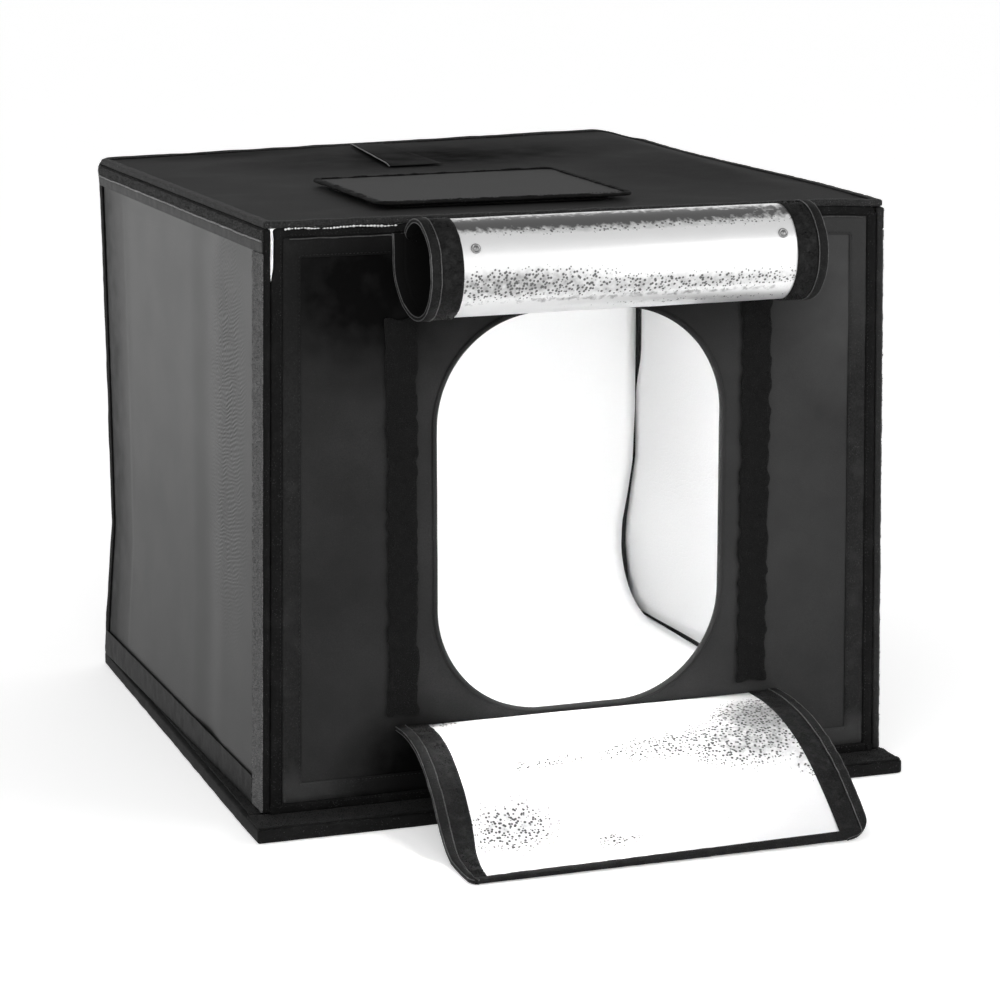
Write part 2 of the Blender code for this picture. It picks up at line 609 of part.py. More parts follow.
def window_outline(grow):
    half = WINDOW_WIDTH / 2 + grow
    return rounded_outline(-half, half, WINDOW_FOOT - grow, WINDOW_HEAD + grow,
                           [WINDOW_CORNER + grow] * 4, WIDE_CORNER_STEPS)


def build_front(carrier):
    bounds = (-FRONT_HALF_WIDTH, FRONT_HALF_WIDTH, WALL_FOOT, WALL_HEAD)
    radii = [SQUARE_CORNER] * 4
    middle = (0.0, FRONT_Y + WALL_THICKNESS / 2, 0.0)
    rings = [bounds]
    for inset in (BINDING_WIDTH, SEAM_GAP, FRONT_HEM_WIDTH, SEAM_GAP):
        rings.append(inset_bounds(rings[-1], inset))
    outlines = [rounded_outline(*ring, inset_radii(radii, ring[0] - bounds[0])) for ring in rings]
    flat_piece("front_binding", outlines[0:2], WALL_THICKNESS, middle, "front", carrier,
               "binding_cloth", BINDING_ROUND)
    flat_piece("front_hem", outlines[2:4], FRONT_HEM_THICKNESS, middle, "front", carrier, "binding_cloth")
    board_hole = window_outline(WINDOW_BINDING_WIDTH + SEAM_GAP)
    flat_piece("front_panel", [outlines[4], board_hole], BOARD_THICKNESS, middle, "front", carrier,
               "cover_cloth")
    flat_piece("window_binding", [window_outline(WINDOW_BINDING_WIDTH), window_outline(0.0)],
               WALL_THICKNESS, middle, "front", carrier, "binding_cloth")
    lining_bounds = inset_bounds(bounds, LINING_MARGIN)
    lining = rounded_outline(*lining_bounds, radii)
    lining_y = FRONT_Y + LINING_DEPTH - LINING_THICKNESS / 2
    flat_piece("front_lining", [lining, board_hole], LINING_THICKNESS, (0.0, lining_y, 0.0), "front",
               carrier, "bright_lining")
    for name, side in (("front_tape_left", -1), ("front_tape_right", 1)):
        middle_x = side * FRONT_TAPE_SPACING / 2
        tape = rounded_outline(middle_x - FRONT_TAPE_WIDTH / 2, middle_x + FRONT_TAPE_WIDTH / 2,
                               FRONT_TAPE_FOOT, FRONT_TAPE_HEAD, [SQUARE_CORNER / 2] * 4)
        tape_y = FRONT_Y - SEAM_GAP - TAPE_THICKNESS / 2
        flat_piece(name, [tape], TAPE_THICKNESS, (0.0, tape_y, 0.0), "front", carrier, "loop_tape")


def build_window_flap(name, edges, outward, steps, columns, carrier):
    """A window flap: foil and black backing in a cloth binding, tape along both sides.

    Outward is 1 where the foil is on the left of the edge paths, and -1 on the right.
    The columns are how many fields the cloth has between its tapes.
    """
    (left, left_path), (right, right_path) = edges
    width = right - left
    length = path_lengths(left_path)[-1]
    rim_share = FLAP_BINDING_WIDTH / width
    gap_share = FLAP_EDGE_GAP / width
    end_share = 1 - FLAP_BINDING_WIDTH / length
    inner_end_share = end_share - FLAP_EDGE_GAP / length
    tape_share = FLAP_TAPE_WIDTH / width
    inner_start = rim_share + gap_share

    along = spread_marks(0.0, inner_end_share, steps)
    tape_end = inner_start + tape_share
    across = [inner_start] + spread_marks(tape_end, 1 - tape_end, columns) + [1 - inner_start]
    sheet_piece(name + "_foil", edges, outward * FOIL_OFFSET, across, along, FOIL_THICKNESS,
                carrier, "silver_foil")
    sheet_piece(name + "_backing", edges, outward * BACKING_OFFSET, across, along, BACKING_THICKNESS,
                carrier, "cover_cloth")
    for side, start in (("_tape_left", inner_start), ("_tape_right", 1 - tape_end)):
        sheet_piece(name + side, edges, outward * FLAP_TAPE_OFFSET, [start, start + tape_share], along,
                    TAPE_THICKNESS, carrier, "loop_tape")
    binding_across = [0.0, rim_share, 1 - rim_share, 1.0]
    binding_along = spread_marks(0.0, end_share, steps) + [1.0]
    binding_offset = outward * (FLAP_OUTSIDE + FLAP_INSIDE) / 2
    sheet_piece(name + "_binding", edges, binding_offset, binding_across, binding_along,
                FLAP_OUTSIDE - FLAP_INSIDE, carrier, "binding_cloth", lambda i, j: i != 1 or j == steps)


def roll_path():
    """The rolled flap, seen from its end: down the wall and once round."""
    path = [(ROLL_WALL_Y, ROLL_SEAM_HEIGHT)]
    for step in range(ROLL_STEPS + 1):
        share = step / ROLL_STEPS
        turn = ROLL_START_TURN - ROLL_SWEEP * share
        tightened = max(share - ROLL_TIGHTEN_FROM_SHARE, 0.0) / (1 - ROLL_TIGHTEN_FROM_SHARE)
        radius = ROLL_RADIUS - ROLL_TIGHTENING * tightened
        path.append((ROLL_CENTRE_Y + radius * math.cos(turn), ROLL_CENTRE_HEIGHT + radius * math.sin(turn)))
    return path


def build_upper_flap(carrier):
    path = roll_path()
    build_window_flap("upper_flap", ((FLAP_LEFT, path), (FLAP_RIGHT, path)), 1, ROLL_STEPS, 1, carrier)
    inset = FLAP_BINDING_WIDTH + FLAP_TAPE_WIDTH + SNAP_INSET
    build_snap("upper_flap_snap_left", FLAP_LEFT + inset + SNAP_LEFT_SHIFT, carrier)
    build_snap("upper_flap_snap_right", FLAP_RIGHT - inset, carrier)


def build_snap(name, across, carrier):
    """A round snap fastener that stands on the foil of the roll."""
    radius = ROLL_RADIUS + FOIL_OFFSET + FOIL_THICKNESS / 2 + SEAM_GAP + SNAP_HEIGHT / 2
    outward = Vector((0.0, math.cos(SNAP_TURN), math.sin(SNAP_TURN)))
    stand = Vector((0.0, 0.0, 1.0)).rotation_difference(outward).to_matrix().to_4x4()
    shape = bmesh.new()
    bmesh.ops.create_cone(shape, cap_ends=True, segments=ROUND_STEPS, radius1=SNAP_RADIUS,
                          radius2=SNAP_RADIUS - SNAP_TAPER, depth=SNAP_HEIGHT)
    mesh = bpy.data.meshes.new(name)
    shape.to_mesh(mesh)
    shape.free()
    snap = bpy.data.objects.new(name, mesh)
    place = Vector((across, ROLL_CENTRE_Y, ROLL_CENTRE_HEIGHT)) + outward * radius
    snap.matrix_world = Matrix.Translation(place) @ stand
    place_piece(snap, carrier, "snap_metal")


def lower_edge(shares):
    root_y = FRONT_Y - SEAM_GAP
    drop = LOWER_FLAP_ROOT - LOWER_FLAP_HEEL
    points = [(root_y - LOWER_FLAP_REACH * out, LOWER_FLAP_HEEL + drop * up) for out, up in shares]
    return smooth_path(points, LOWER_FLAP_STEPS)


def build_lower_flap(carrier):
    edges = ((FLAP_LEFT, lower_edge(LOWER_LEFT_EDGE_SHARES)),
             (FLAP_RIGHT, lower_edge(LOWER_RIGHT_EDGE_SHARES)))
    build_window_flap("lower_flap", edges, -1, LOWER_FLAP_STEPS, LOWER_FLAP_COLUMNS, carrier)


def build_backdrop(carrier):
    half = BACKDROP_WIDTH / 2
    wall_y = BACK_Y - LINING_DEPTH - 2 * SEAM_GAP - STRIP_THICKNESS - BACKDROP_THICKNESS / 2
    floor_z = BASE_THICKNESS + LINING_THICKNESS + 2 * SEAM_GAP + BACKDROP_THICKNESS / 2
    head_z = WALL_HEAD - BACKDROP_HEAD_DROP
    path = [(wall_y, head_z)]
    for step in range(BACKDROP_BEND_STEPS + 1):
        turn = math.pi / 2 * step / BACKDROP_BEND_STEPS
        path.append((wall_y - BACKDROP_BEND * (1 - math.cos(turn)),
                     floor_z + BACKDROP_BEND * (1 - math.sin(turn))))
    path.append((FRONT_Y + LINING_DEPTH + BACKDROP_FRONT_SETBACK, floor_z))
    lengths = path_lengths(path)
    marks = [length / lengths[-1] for length in lengths]
    sheet_piece("backdrop_sheet", ((-half, path), (half, path)), 0.0, [0.0, 1.0], marks,
                BACKDROP_THICKNESS, carrier, "white_sheet")
    tab_y = BACK_Y - LINING_DEPTH - SEAM_GAP - STRIP_THICKNESS / 2
    tab_z = head_z - STRIP_DROP - STRIP_HEIGHT / 2
    box_piece("backdrop_strip", (0.0, tab_y, tab_z), (STRIP_WIDTH, STRIP_THICKNESS, STRIP_HEIGHT), carrier,
              "loop_tape")


def lamp_channel_outline():
    """The bar's section: a trough that opens downwards."""
    left, right = LAMP_Y - LAMP_WIDTH / 2, LAMP_Y + LAMP_WIDTH / 2
    web = LAMP_CEILING - LAMP_WALL
    return [(left, LAMP_FLOOR), (left + LAMP_WALL, LAMP_FLOOR), (left + LAMP_WALL, web),
            (right - LAMP_WALL, web), (right - LAMP_WALL, LAMP_FLOOR), (right, LAMP_FLOOR),
            (right, LAMP_CEILING), (left, LAMP_CEILING)]


def build_lamp(carrier):
    flat_piece("lamp_channel", [lamp_channel_outline()], LAMP_LENGTH, (0.0, 0.0, 0.0), "side", carrier,
               "aluminium")
    inner_width = LAMP_WIDTH - 2 * (LAMP_WALL + SEAM_GAP)
    board_z = LAMP_CEILING - LAMP_WALL - SEAM_GAP - LAMP_BOARD_THICKNESS / 2
    board = box_piece("lamp_board", (0.0, LAMP_Y, board_z), (LAMP_LENGTH, inner_width, LAMP_BOARD_THICKNESS),
                      carrier, "lamp_board")
    chip_height = CHIP_HEIGHT + LAMP_BOARD_THICKNESS / 2
    chip_pitch = LAMP_LENGTH / CHIP_COUNT
    chip_starts = spread_marks(-LAMP_LENGTH / 2, LAMP_LENGTH / 2, CHIP_COUNT)[:-1]
    chip_z = board_z - chip_height / 2
    chips = [((start + chip_pitch / 2, LAMP_Y, chip_z), (CHIP_SIZE, CHIP_SIZE, chip_height))
             for start in chip_starts]
    join_boxes(board, "lamp_chips", chips)
    diffuser_z = LAMP_FLOOR + LAMP_DIFFUSER_THICKNESS / 2
    box_piece("lamp_diffuser", (0.0, LAMP_Y, diffuser_z),
              (LAMP_LENGTH, inner_width, LAMP_DIFFUSER_THICKNESS), carrier, "diffuser")
    cap_x = LAMP_LENGTH / 2 + SEAM_GAP + LAMP_CAP_LENGTH / 2
    middle_z = LAMP_CEILING - LAMP_HEIGHT / 2
    strap_z = LAMP_CEILING + SEAM_GAP + LAMP_STRAP_THICKNESS / 2
    for side_name, side in (("left", -1), ("right", 1)):
        box_piece("lamp_end_cap_" + side_name, (side * cap_x, LAMP_Y, middle_z),
                  (LAMP_CAP_LENGTH, LAMP_WIDTH, LAMP_HEIGHT), carrier, "black_plastic", LAMP_WALL / 2)
        box_piece("lamp_strap_" + side_name, (side * LAMP_LENGTH * LAMP_STRAP_PLACE_SHARE, LAMP_Y, strap_z),
                  (LAMP_STRAP_LENGTH, LAMP_WIDTH, LAMP_STRAP_THICKNESS), carrier, "loop_tape")
    inlet = [round_outline(LAMP_Y, middle_z, radius) for radius in (INLET_RADIUS, INLET_BORE_RADIUS)]
    inlet_x = cap_x + LAMP_CAP_LENGTH / 2 + SEAM_GAP + INLET_LENGTH / 2
    flat_piece("lamp_inlet", inlet, INLET_LENGTH, (inlet_x, 0.0, 0.0), "side", carrier, "black_plastic")


def build_tent():
    back_axis = hinge_line("back_hinge", (0.0, BACK_Y + BACK_HINGE_OUTSET, BASE_THICKNESS - BACK_HINGE_SINK))
    left_axis = hinge_line("left_hinge", (-HALF_WIDTH, PANEL_REAR, WALL_FOOT), back_axis)
    right_axis = hinge_line("right_hinge", (HALF_WIDTH, PANEL_REAR, WALL_FOOT), back_axis)
    top_axis = hinge_line("top_hinge", (0.0, PANEL_REAR, TENT_HEIGHT), back_axis)
    front_axis = hinge_line("front_hinge", (0.0, FRONT_Y, WALL_HEAD), top_axis)
    top_flap_axis = hinge_line("top_flap_hinge", (HOLE_SHIFT, TOP_FLAP_BACK_Y, TOP_FLAP_UNDER), top_axis)
    cable_axis = hinge_line("cable_flap_hinge", (CABLE_FLAP_LEFT, SLIT_MIDDLE_Y, TENT_HEIGHT + SEAM_GAP),
                            top_axis)
    upper_axis = hinge_line("upper_flap_hinge", (FLAP_SHIFT, ROLL_WALL_Y, ROLL_SEAM_HEIGHT), front_axis)
    lower_axis = hinge_line("lower_flap_hinge",
                            (FLAP_SHIFT, FRONT_Y - SEAM_GAP, LOWER_FLAP_ROOT + FLAP_OUTSIDE), front_axis)
    build_base()
    build_back(back_axis)
    build_backdrop(back_axis)
    build_side("left", -1, left_axis)
    build_side("right", 1, right_axis)
    build_top(top_axis)
    build_lamp(top_axis)
    build_top_flap(top_flap_axis)
    build_cable_flap(cable_axis)
    build_front(front_axis)
    build_upper_flap(upper_axis)
    build_lower_flap(lower_axis)


clear_scene()
PARTS = new_collection("light_tent_cube")
CUTTERS = new_collection("cutters")
build_tent()
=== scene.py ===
"""Looks of the light tent cube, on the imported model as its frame.

Every cloth piece is drawn again in mesh code where its plain solid stands: the
covered boards with their sewn bindings, the fuzzy tapes, the bright linings, the
two silver flaps and the white backdrop. The lamp bar keeps its solids and gets
better materials. Metres, with Z up and the front of the tent facing -Y.
"""

import math
from itertools import product

import bpy
import numpy as np
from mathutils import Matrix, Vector
from mathutils.geometry import delaunay_2d_cdt


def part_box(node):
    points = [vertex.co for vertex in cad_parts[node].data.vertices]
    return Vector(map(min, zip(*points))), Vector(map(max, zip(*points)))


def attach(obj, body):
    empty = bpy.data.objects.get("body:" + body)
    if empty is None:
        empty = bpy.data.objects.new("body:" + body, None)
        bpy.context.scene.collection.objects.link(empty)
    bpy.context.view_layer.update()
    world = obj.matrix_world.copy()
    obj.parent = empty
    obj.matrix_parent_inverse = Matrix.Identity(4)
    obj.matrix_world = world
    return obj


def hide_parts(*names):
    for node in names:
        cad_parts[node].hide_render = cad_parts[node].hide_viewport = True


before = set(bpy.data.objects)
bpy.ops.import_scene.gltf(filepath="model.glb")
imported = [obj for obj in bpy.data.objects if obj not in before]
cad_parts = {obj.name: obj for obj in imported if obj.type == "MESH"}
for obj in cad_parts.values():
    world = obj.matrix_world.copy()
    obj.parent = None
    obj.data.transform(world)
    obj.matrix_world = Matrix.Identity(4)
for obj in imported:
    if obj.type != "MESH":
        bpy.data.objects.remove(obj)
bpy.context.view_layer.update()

MM = 0.001
TINY = 1e-9

# The camera at the photograph's viewing angle
CAMERA_PLACE = (-1.078, -3.079, 0.934)
CAMERA_TURN_DEGREES = (77.61, 0.0, -19.79)
CAMERA_LENS = 121.41

# The tent
HALF_WIDTH = 0.300
TENT_HEIGHT = 0.543
WALL_HEAD = 0.5367

# The axes of a flat piece: across, up, and out of its face
FACINGS = {
    "up": ((1, 0, 0), (0, 1, 0), (0, 0, 1)),
    "down": ((1, 0, 0), (0, -1, 0), (0, 0, -1)),
    "front": ((1, 0, 0), (0, 0, 1), (0, -1, 0)),
    "back": ((-1, 0, 0), (0, 0, 1), (0, 1, 0)),
    "left": ((0, -1, 0), (0, 0, 1), (-1, 0, 0)),
    "right": ((0, 1, 0), (0, 0, 1), (1, 0, 0)),
}

# How the real tent stands out of true: shifts of its edges and corners
LEFT_FRONT_FOOT_SHIFT = -2.3 * MM
LEFT_FRONT_HEAD_SHIFT = 6.7 * MM
RIGHT_FRONT_FOOT_SHIFT = 4.8 * MM
RIGHT_FRONT_HEAD_SHIFT = -4.4 * MM
LEFT_REAR_LEVELS = (0.0225, 0.070, 0.154, 0.302, 0.428, 0.516, 0.543)
LEFT_REAR_SHIFTS = (-0.0055, -0.0019, 0.0052, 0.0042, 0.0025, 0.0012, 0.0)
FRONT_LIFTS = (2.5 * MM, -1.6 * MM)
BACK_LIFTS = (-7.1 * MM, 4.0 * MM)
RIGHT_EDGE_DROOPS = (2.1 * MM, 12.7 * MM)
RIGHT_EDGE_DROOP_SPAN = (-0.28, 0.26)
RIGHT_EDGE_START = 0.24
SIDE_SHIFT_START = 0.20
LIFT_FOOT = 0.35
BASE_FRONT_LEFT_SHIFT = (-8.0 * MM, -8.0 * MM)
BASE_FRONT_RIGHT_SHIFT = (3.0 * MM, -6.0 * MM)
BASE_BACK_LEFT_SHIFT = (6.0 * MM, 3.0 * MM)
BASE_FRONT_SPAN = (-0.297, -0.326)

# Sizes of the sewn work
CLOTH = 1.0 * MM
RIM = 0.4 * MM
BINDING_WIDTH = 8.0 * MM
BOARD_LAP = 4.0 * MM
BOARD_SUNK = 0.1 * MM
STITCH_INSET = 2.0 * MM
BINDING_CROWN = 0.35 * MM
BINDING_WOBBLE = 0.30 * MM
EDGE_ROUND = 1.6 * MM
CLOSING_RUN = 20 * MM
STITCH_LENGTH = 2.6 * MM
STITCH_PITCH = 3.6 * MM
STITCH_WIDTH = 0.55 * MM
STITCH_LIFT = BINDING_CROWN * 0.8
PLATE_PITCH = 6.0 * MM
EDGING_PITCH = 3.0 * MM
TUFT_HEIGHT = 0.9 * MM
TUFT_WIDTH = 0.7 * MM
TUFT_AREA = 3.0 * MM * MM
TUFT_SIZES = (0.6, 1.3)
TUFT_LEANS = (0.2, 1.1)
TAPE_PITCH = 3.0 * MM
TAPE_RISE = 0.35 * MM
TAPE_CORNER = 2.0 * MM
FRAY = 0.4 * MM
FINE_RIM = 0.3 * MM

# How far apart the waves of the cloth are
INNER_EDGE_WAVES = 11 * MM
FACE_WAVES = 7 * MM
OUTER_EDGE_WAVES = 23 * MM
FRAY_WAVES = 8 * MM
TAPE_WAVES = 5 * MM
PUCKERS = 9 * MM
BOARD_WAVES = 90 * MM
FRONT_WAVES = 110 * MM


def seed_of(name):
    return sum(index * code for index, code in enumerate(name.encode(), 1))


def smooth_step(value, start, end):
    share = np.clip((value - start) / (end - start), 0.0, 1.0)
    return share * share * (3.0 - 2.0 * share)


def rise_and_fall(value, rise, fall):
    """0 before a span, 1 after it, and 0 again after a second span."""
    return smooth_step(value, *rise) * (1.0 - smooth_step(value, *fall))


def mix(first, second, share):
    return first + (second - first) * share


# Noise

HASH_FACTORS = np.array((73856093, 19349663, 83492791), dtype=np.int64)
HASH_SEED_FACTOR = 2654435
HASH_SHIFT = 13
HASH_MIX = 1274126177
HASH_SIZE = 65535


def lattice_value(cells, seed):
    """A fixed value from 0 to 1 for every whole-numbered cell."""
    mixed = (cells * HASH_FACTORS[:cells.shape[-1]]).sum(axis=-1) + seed * HASH_SEED_FACTOR
    mixed = (mixed ^ (mixed >> HASH_SHIFT)) * HASH_MIX
    mixed = mixed ^ (mixed >> HASH_SHIFT)
    return (mixed & HASH_SIZE) / HASH_SIZE


def smooth_noise(points, pitch, seed):
    """Noise from -1 to 1 that changes smoothly over a pitch."""
    place = np.asarray(points) / pitch
    cell = np.floor(place).astype(np.int64)
    part = place - cell
    part = part * part * (3.0 - 2.0 * part)
    total = np.zeros(len(place))
    for corner in product((0, 1), repeat=place.shape[1]):
        weight = np.prod(np.where(np.array(corner) == 1, part, 1.0 - part), axis=1)
        total += weight * lattice_value(cell + np.array(corner), seed)
    return 2.0 * total - 1.0


def rough_noise(points, pitch, seed, layers=3):
    """Smooth noise with finer noise on top."""
    total, weight = np.zeros(len(points)), 1.0
    for layer in range(layers):
        total += weight * smooth_noise(points, pitch / 2 ** layer, seed + layer)
        weight /= 2.0
    return total


def line_noise(run, pitch, seed):
    """Rough noise along a line, at distances from its start."""
    return rough_noise(np.stack((run, np.zeros(len(run))), axis=1), pitch, seed)


def grid_noise(across, along, pitch, seed):
    """Rough noise on a grid of distances."""
    flat = np.stack((across.ravel(), along.ravel()), axis=1)
    return rough_noise(flat, pitch, seed).reshape(across.shape)


def noise_relief(pitch, seed, rise):
    """A relief of soft waves that are about a pitch apart."""
    return lambda points: rough_noise(points, pitch, seed) * rise


def cell_gaps(points, pitch, seed):
    """How far each point is from the line between its two nearest seeds, in pitches."""
    place = np.asarray(points) / pitch
    cell = np.floor(place).astype(np.int64)
    nearest, second = np.full((2, len(place)), np.inf)
    for step in product((-1, 0, 1), repeat=2):
        other = cell + np.array(step)
        spot = other + np.stack([lattice_value(other, seed + k) for k in (0, 1)], axis=1)
        away = np.hypot(*(place - spot).T)
        second = np.minimum(second, np.maximum(nearest, away))
        nearest = np.minimum(nearest, away)
    return second - nearest


# How the real tent stands out of true

def tent_share(value):
    """0 at the tent's left or front side, 1 at its right or back."""
    return np.clip((value + HALF_WIDTH) / (2 * HALF_WIDTH), 0.0, 1.0)


def settle(points):
    """Shift points of the tent's walls and top the way the real tent stands."""
    x, y, z = points.T
    across, back = tent_share(x), tent_share(y)
    height = np.clip(z / TENT_HEIGHT, 0.0, 1.0)
    left = mix(mix(LEFT_FRONT_FOOT_SHIFT, LEFT_FRONT_HEAD_SHIFT, height),
               np.interp(z, LEFT_REAR_LEVELS, LEFT_REAR_SHIFTS), back)
    right = mix(RIGHT_FRONT_FOOT_SHIFT, RIGHT_FRONT_HEAD_SHIFT, height) * (1.0 - back)
    shift = np.where(x < 0, left, right) * smooth_step(np.abs(x), SIDE_SHIFT_START, HALF_WIDTH)
    lift = mix(mix(FRONT_LIFTS[0], BACK_LIFTS[0], back), mix(FRONT_LIFTS[1], BACK_LIFTS[1], back), across)
    droop = mix(*RIGHT_EDGE_DROOPS, smooth_step(y, *RIGHT_EDGE_DROOP_SPAN))
    lift = lift - droop * smooth_step(x, RIGHT_EDGE_START, HALF_WIDTH)
    lift = lift * smooth_step(z, LIFT_FOOT, WALL_HEAD)
    return np.stack((x + shift, y, z + lift), axis=1)


def settle_base(points):
    """Shift points of the base: its left side has turned, and its front has slid out a little."""
    x, y, z = points.T
    across, back = tent_share(x), tent_share(y)
    left = smooth_step(-x, SIDE_SHIFT_START, HALF_WIDTH)
    right = smooth_step(x, SIDE_SHIFT_START, HALF_WIDTH)
    shift_x = mix(BASE_FRONT_LEFT_SHIFT[0], BASE_BACK_LEFT_SHIFT[0], back) * left
    shift_x += BASE_FRONT_RIGHT_SHIFT[0] * right * (1.0 - back)
    front = smooth_step(y, *BASE_FRONT_SPAN)
    shift_y = mix(BASE_FRONT_LEFT_SHIFT[1], BASE_FRONT_RIGHT_SHIFT[1], across) * front
    shift_y += BASE_BACK_LEFT_SHIFT[1] * back * left
    return np.stack((x + shift_x, y + shift_y, z), axis=1)


# Meshes

def join(chunks):
    """One chunk of (points, faces, material index of each face) from several."""
    points, faces, marks, count = [], [], [], 0
    for chunk_points, chunk_faces, chunk_marks in chunks:
        points.append(chunk_points)
        faces.extend([[index + count for index in face] for face in chunk_faces])
        marks.extend(chunk_marks)
        count += len(chunk_points)
    return np.concatenate(points), faces, marks


def chunk(points, faces, mark=0):
    faces = [list(face) for face in faces]
    return np.asarray(points, dtype=float), faces, [mark] * len(faces)


def add_piece(node, parts, materials, body, shift=settle):
    """A piece in mesh code that rides a body, in place of the CAD node of its name."""
    points, faces, marks = join(parts)
    if shift:
        points = shift(points)
    name = "seen_" + node
    mesh = bpy.data.meshes.new(name)
    mesh.from_pydata(points.tolist(), [], faces)
    mesh.polygons.foreach_set("material_index", marks)
    mesh.polygons.foreach_set("use_smooth", [True] * len(faces))
    mesh.update()
    for material in materials:
        mesh.materials.append(material)
    piece = bpy.data.objects.new(name, mesh)
    bpy.context.scene.collection.objects.link(piece)
    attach(piece, body)
    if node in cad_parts:
        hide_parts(node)
    return piece


def spans(node, facing):
    """A CAD node's lowest and highest values across, up and out of its face."""
    ends = np.array(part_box(node))
    return [tuple(sorted(float(end @ np.array(axis)) for end in ends)) for axis in FACINGS[facing]]


def place(flat, heights, facing):
    """Flat points and their heights, in the room."""
    across, up, out = (np.array(axis, dtype=float) for axis in FACINGS[facing])
    flat = np.asarray(flat)
    heights = np.broadcast_to(heights, len(flat))
    return flat[:, :1] * across + flat[:, 1:] * up + heights[:, None] * out


def out_of(facing):
    return np.array(FACINGS[facing][2], dtype=float)


def grown(bounds, distance):
    left, right, low, high = bounds
    return left - distance, right + distance, low - distance, high + distance


def rounded_loop(bounds, radii, pitch):
    """Points round a rounded rectangle and their outward directions, turning left."""
    left, right, low, high = bounds
    corners = ((left, low, 1, 1, math.pi), (right, low, -1, 1, 1.5 * math.pi),
               (right, high, -1, -1, 0.0), (left, high, 1, -1, 0.5 * math.pi))
    arcs = []
    for (across, up, inward, upward, start), radius in zip(corners, radii):
        steps = max(round(radius * math.pi / 2 / pitch), 3)
        turns = start + np.linspace(0.0, math.pi / 2, steps + 1)
        around = np.stack((np.cos(turns), np.sin(turns)), axis=1)
        centre = np.array((across + inward * radius, up + upward * radius))
        arcs.append((centre + radius * around, around))
    points, outward = [], []
    for index, (arc, around) in enumerate(arcs):
        following = arcs[(index + 1) % len(arcs)][0][0]
        steps = max(round(float(np.hypot(*(following - arc[-1]))) / pitch), 1)
        shares = np.linspace(0.0, 1.0, steps + 1)[1:-1, None]
        points += [arc, mix(arc[-1], following, shares)]
        outward += [around, np.repeat(around[-1:], len(shares), axis=0)]
    return np.concatenate(points), np.concatenate(outward)


def as_hole(loop):
    """The same loop as the edge of a hole: it turns right and faces its middle."""
    points, outward = loop
    return points[::-1], -outward[::-1]


def is_inside(points, loop):
    """Which points are inside a closed outline."""
    x, y = points[:, :1], points[:, 1:]
    start, end = loop, np.roll(loop, -1, axis=0)
    rise = end[:, 1] - start[:, 1]
    rise = np.where(rise == 0.0, 1e-12, rise)
    crossing = (end[:, 0] - start[:, 0]) * (y - start[:, 1]) / rise + start[:, 0]
    crosses = ((start[:, 1] > y) != (end[:, 1] > y)) & (x < crossing)
    return crosses.sum(axis=1) % 2 == 1


FIELD_GAP = 0.6


def field_points(loops, pitch):
    """Evenly spread points inside the first loop and outside the others."""
    outline = loops[0][0]
    low, high = outline.min(axis=0), outline.max(axis=0)
    row_pitch = pitch * math.sqrt(0.75)
    rows = []
    for row, up in enumerate(np.arange(low[1] + row_pitch / 2, high[1], row_pitch)):
        across = np.arange(low[0] + pitch / 2 * (1 + row % 2), high[0], pitch)
        rows.append(np.stack((across, np.full(len(across), up)), axis=1))
    points = np.concatenate(rows)
    for index, (loop, outward) in enumerate(loops):
        kept = is_inside(points, loop - outward * pitch * FIELD_GAP)
        points = points[kept if index == 0 else ~kept]
    return points


def plate(facing, loops, low, high, pitch=PLATE_PITCH, rim=RIM, relief=None, mark=0):
    """A flat cloth or board with a rounded rim, and a relief on its outer face."""
    inner = [loop - outward * rim for loop, outward in loops]
    flat = np.concatenate(inner + [field_points(loops, pitch)])
    edges, rings, start = [], [], 0
    for loop in inner:
        ring = np.arange(start, start + len(loop))
        rings.append(ring)
        edges += list(zip(ring.tolist(), np.roll(ring, -1).tolist()))
        start += len(loop)
    found = delaunay_2d_cdt([Vector(point) for point in flat.tolist()], edges, [], 0, 1e-7)
    flat = np.array([tuple(point) for point in found[0]])
    triangles = np.array(found[2])
    middles = flat[triangles].mean(axis=1)
    kept = is_inside(middles, inner[0])
    for hole in inner[1:]:
        kept &= ~is_inside(middles, hole)
    triangles = triangles[kept]

    outer = np.concatenate([loop for loop, outward in loops])
    top = place(flat, high, facing)
    raised = relief(top) if relief else np.zeros(len(flat))
    top = top + raised[:, None] * out_of(facing)
    rim_points = place(outer, high - rim + raised[:start], facing)
    bottom = place(np.concatenate((outer, flat[start:])), low, facing)
    count = len(flat)
    faces = triangles.tolist() + (triangles[:, ::-1] + count + start).tolist()
    for ring in rings:
        following = np.roll(ring, -1)
        for upper, lower in ((0, count), (count, count + start)):
            faces += np.stack((ring + upper, ring + lower, following + lower, following + upper),
                              axis=1).tolist()
    return chunk(np.concatenate((top, rim_points, bottom)), faces, mark)


def sweep(lines, mark=0, closed=False):
    """A tube from the lines along it, round a closed loop or with two end caps."""
    rows = np.stack(lines, axis=1)
    count, size = rows.shape[:2]
    index = np.arange(count * size).reshape(count, size)
    following = np.roll(index, -1, axis=0) if closed else index[1:]
    current = index if closed else index[:-1]
    beside = [np.roll(part, -1, axis=1) for part in (following, current)]
    faces = np.stack((current, following, *beside), axis=2).reshape(-1, 4).tolist()
    if not closed:
        faces += [index[0].tolist(), index[-1][::-1].tolist()]
    return chunk(rows.reshape(-1, 3), faces, mark)


def path_run(path):
    """How far along a path each of its points is."""
    return np.concatenate(([0.0], np.cumsum(np.hypot(*np.diff(path, axis=0).T))))


def point_at(path, wanted):
    """Points of a path at distances from its start."""
    run = path_run(path)
    return np.stack([np.interp(wanted, run, path[:, k]) for k in (0, 1)], axis=-1)


def closing(run):
    """Fades a wave out at the two ends of a loop, so that it meets itself."""
    return rise_and_fall(run, (0.0, CLOSING_RUN), (run[-1] - CLOSING_RUN, run[-1]))


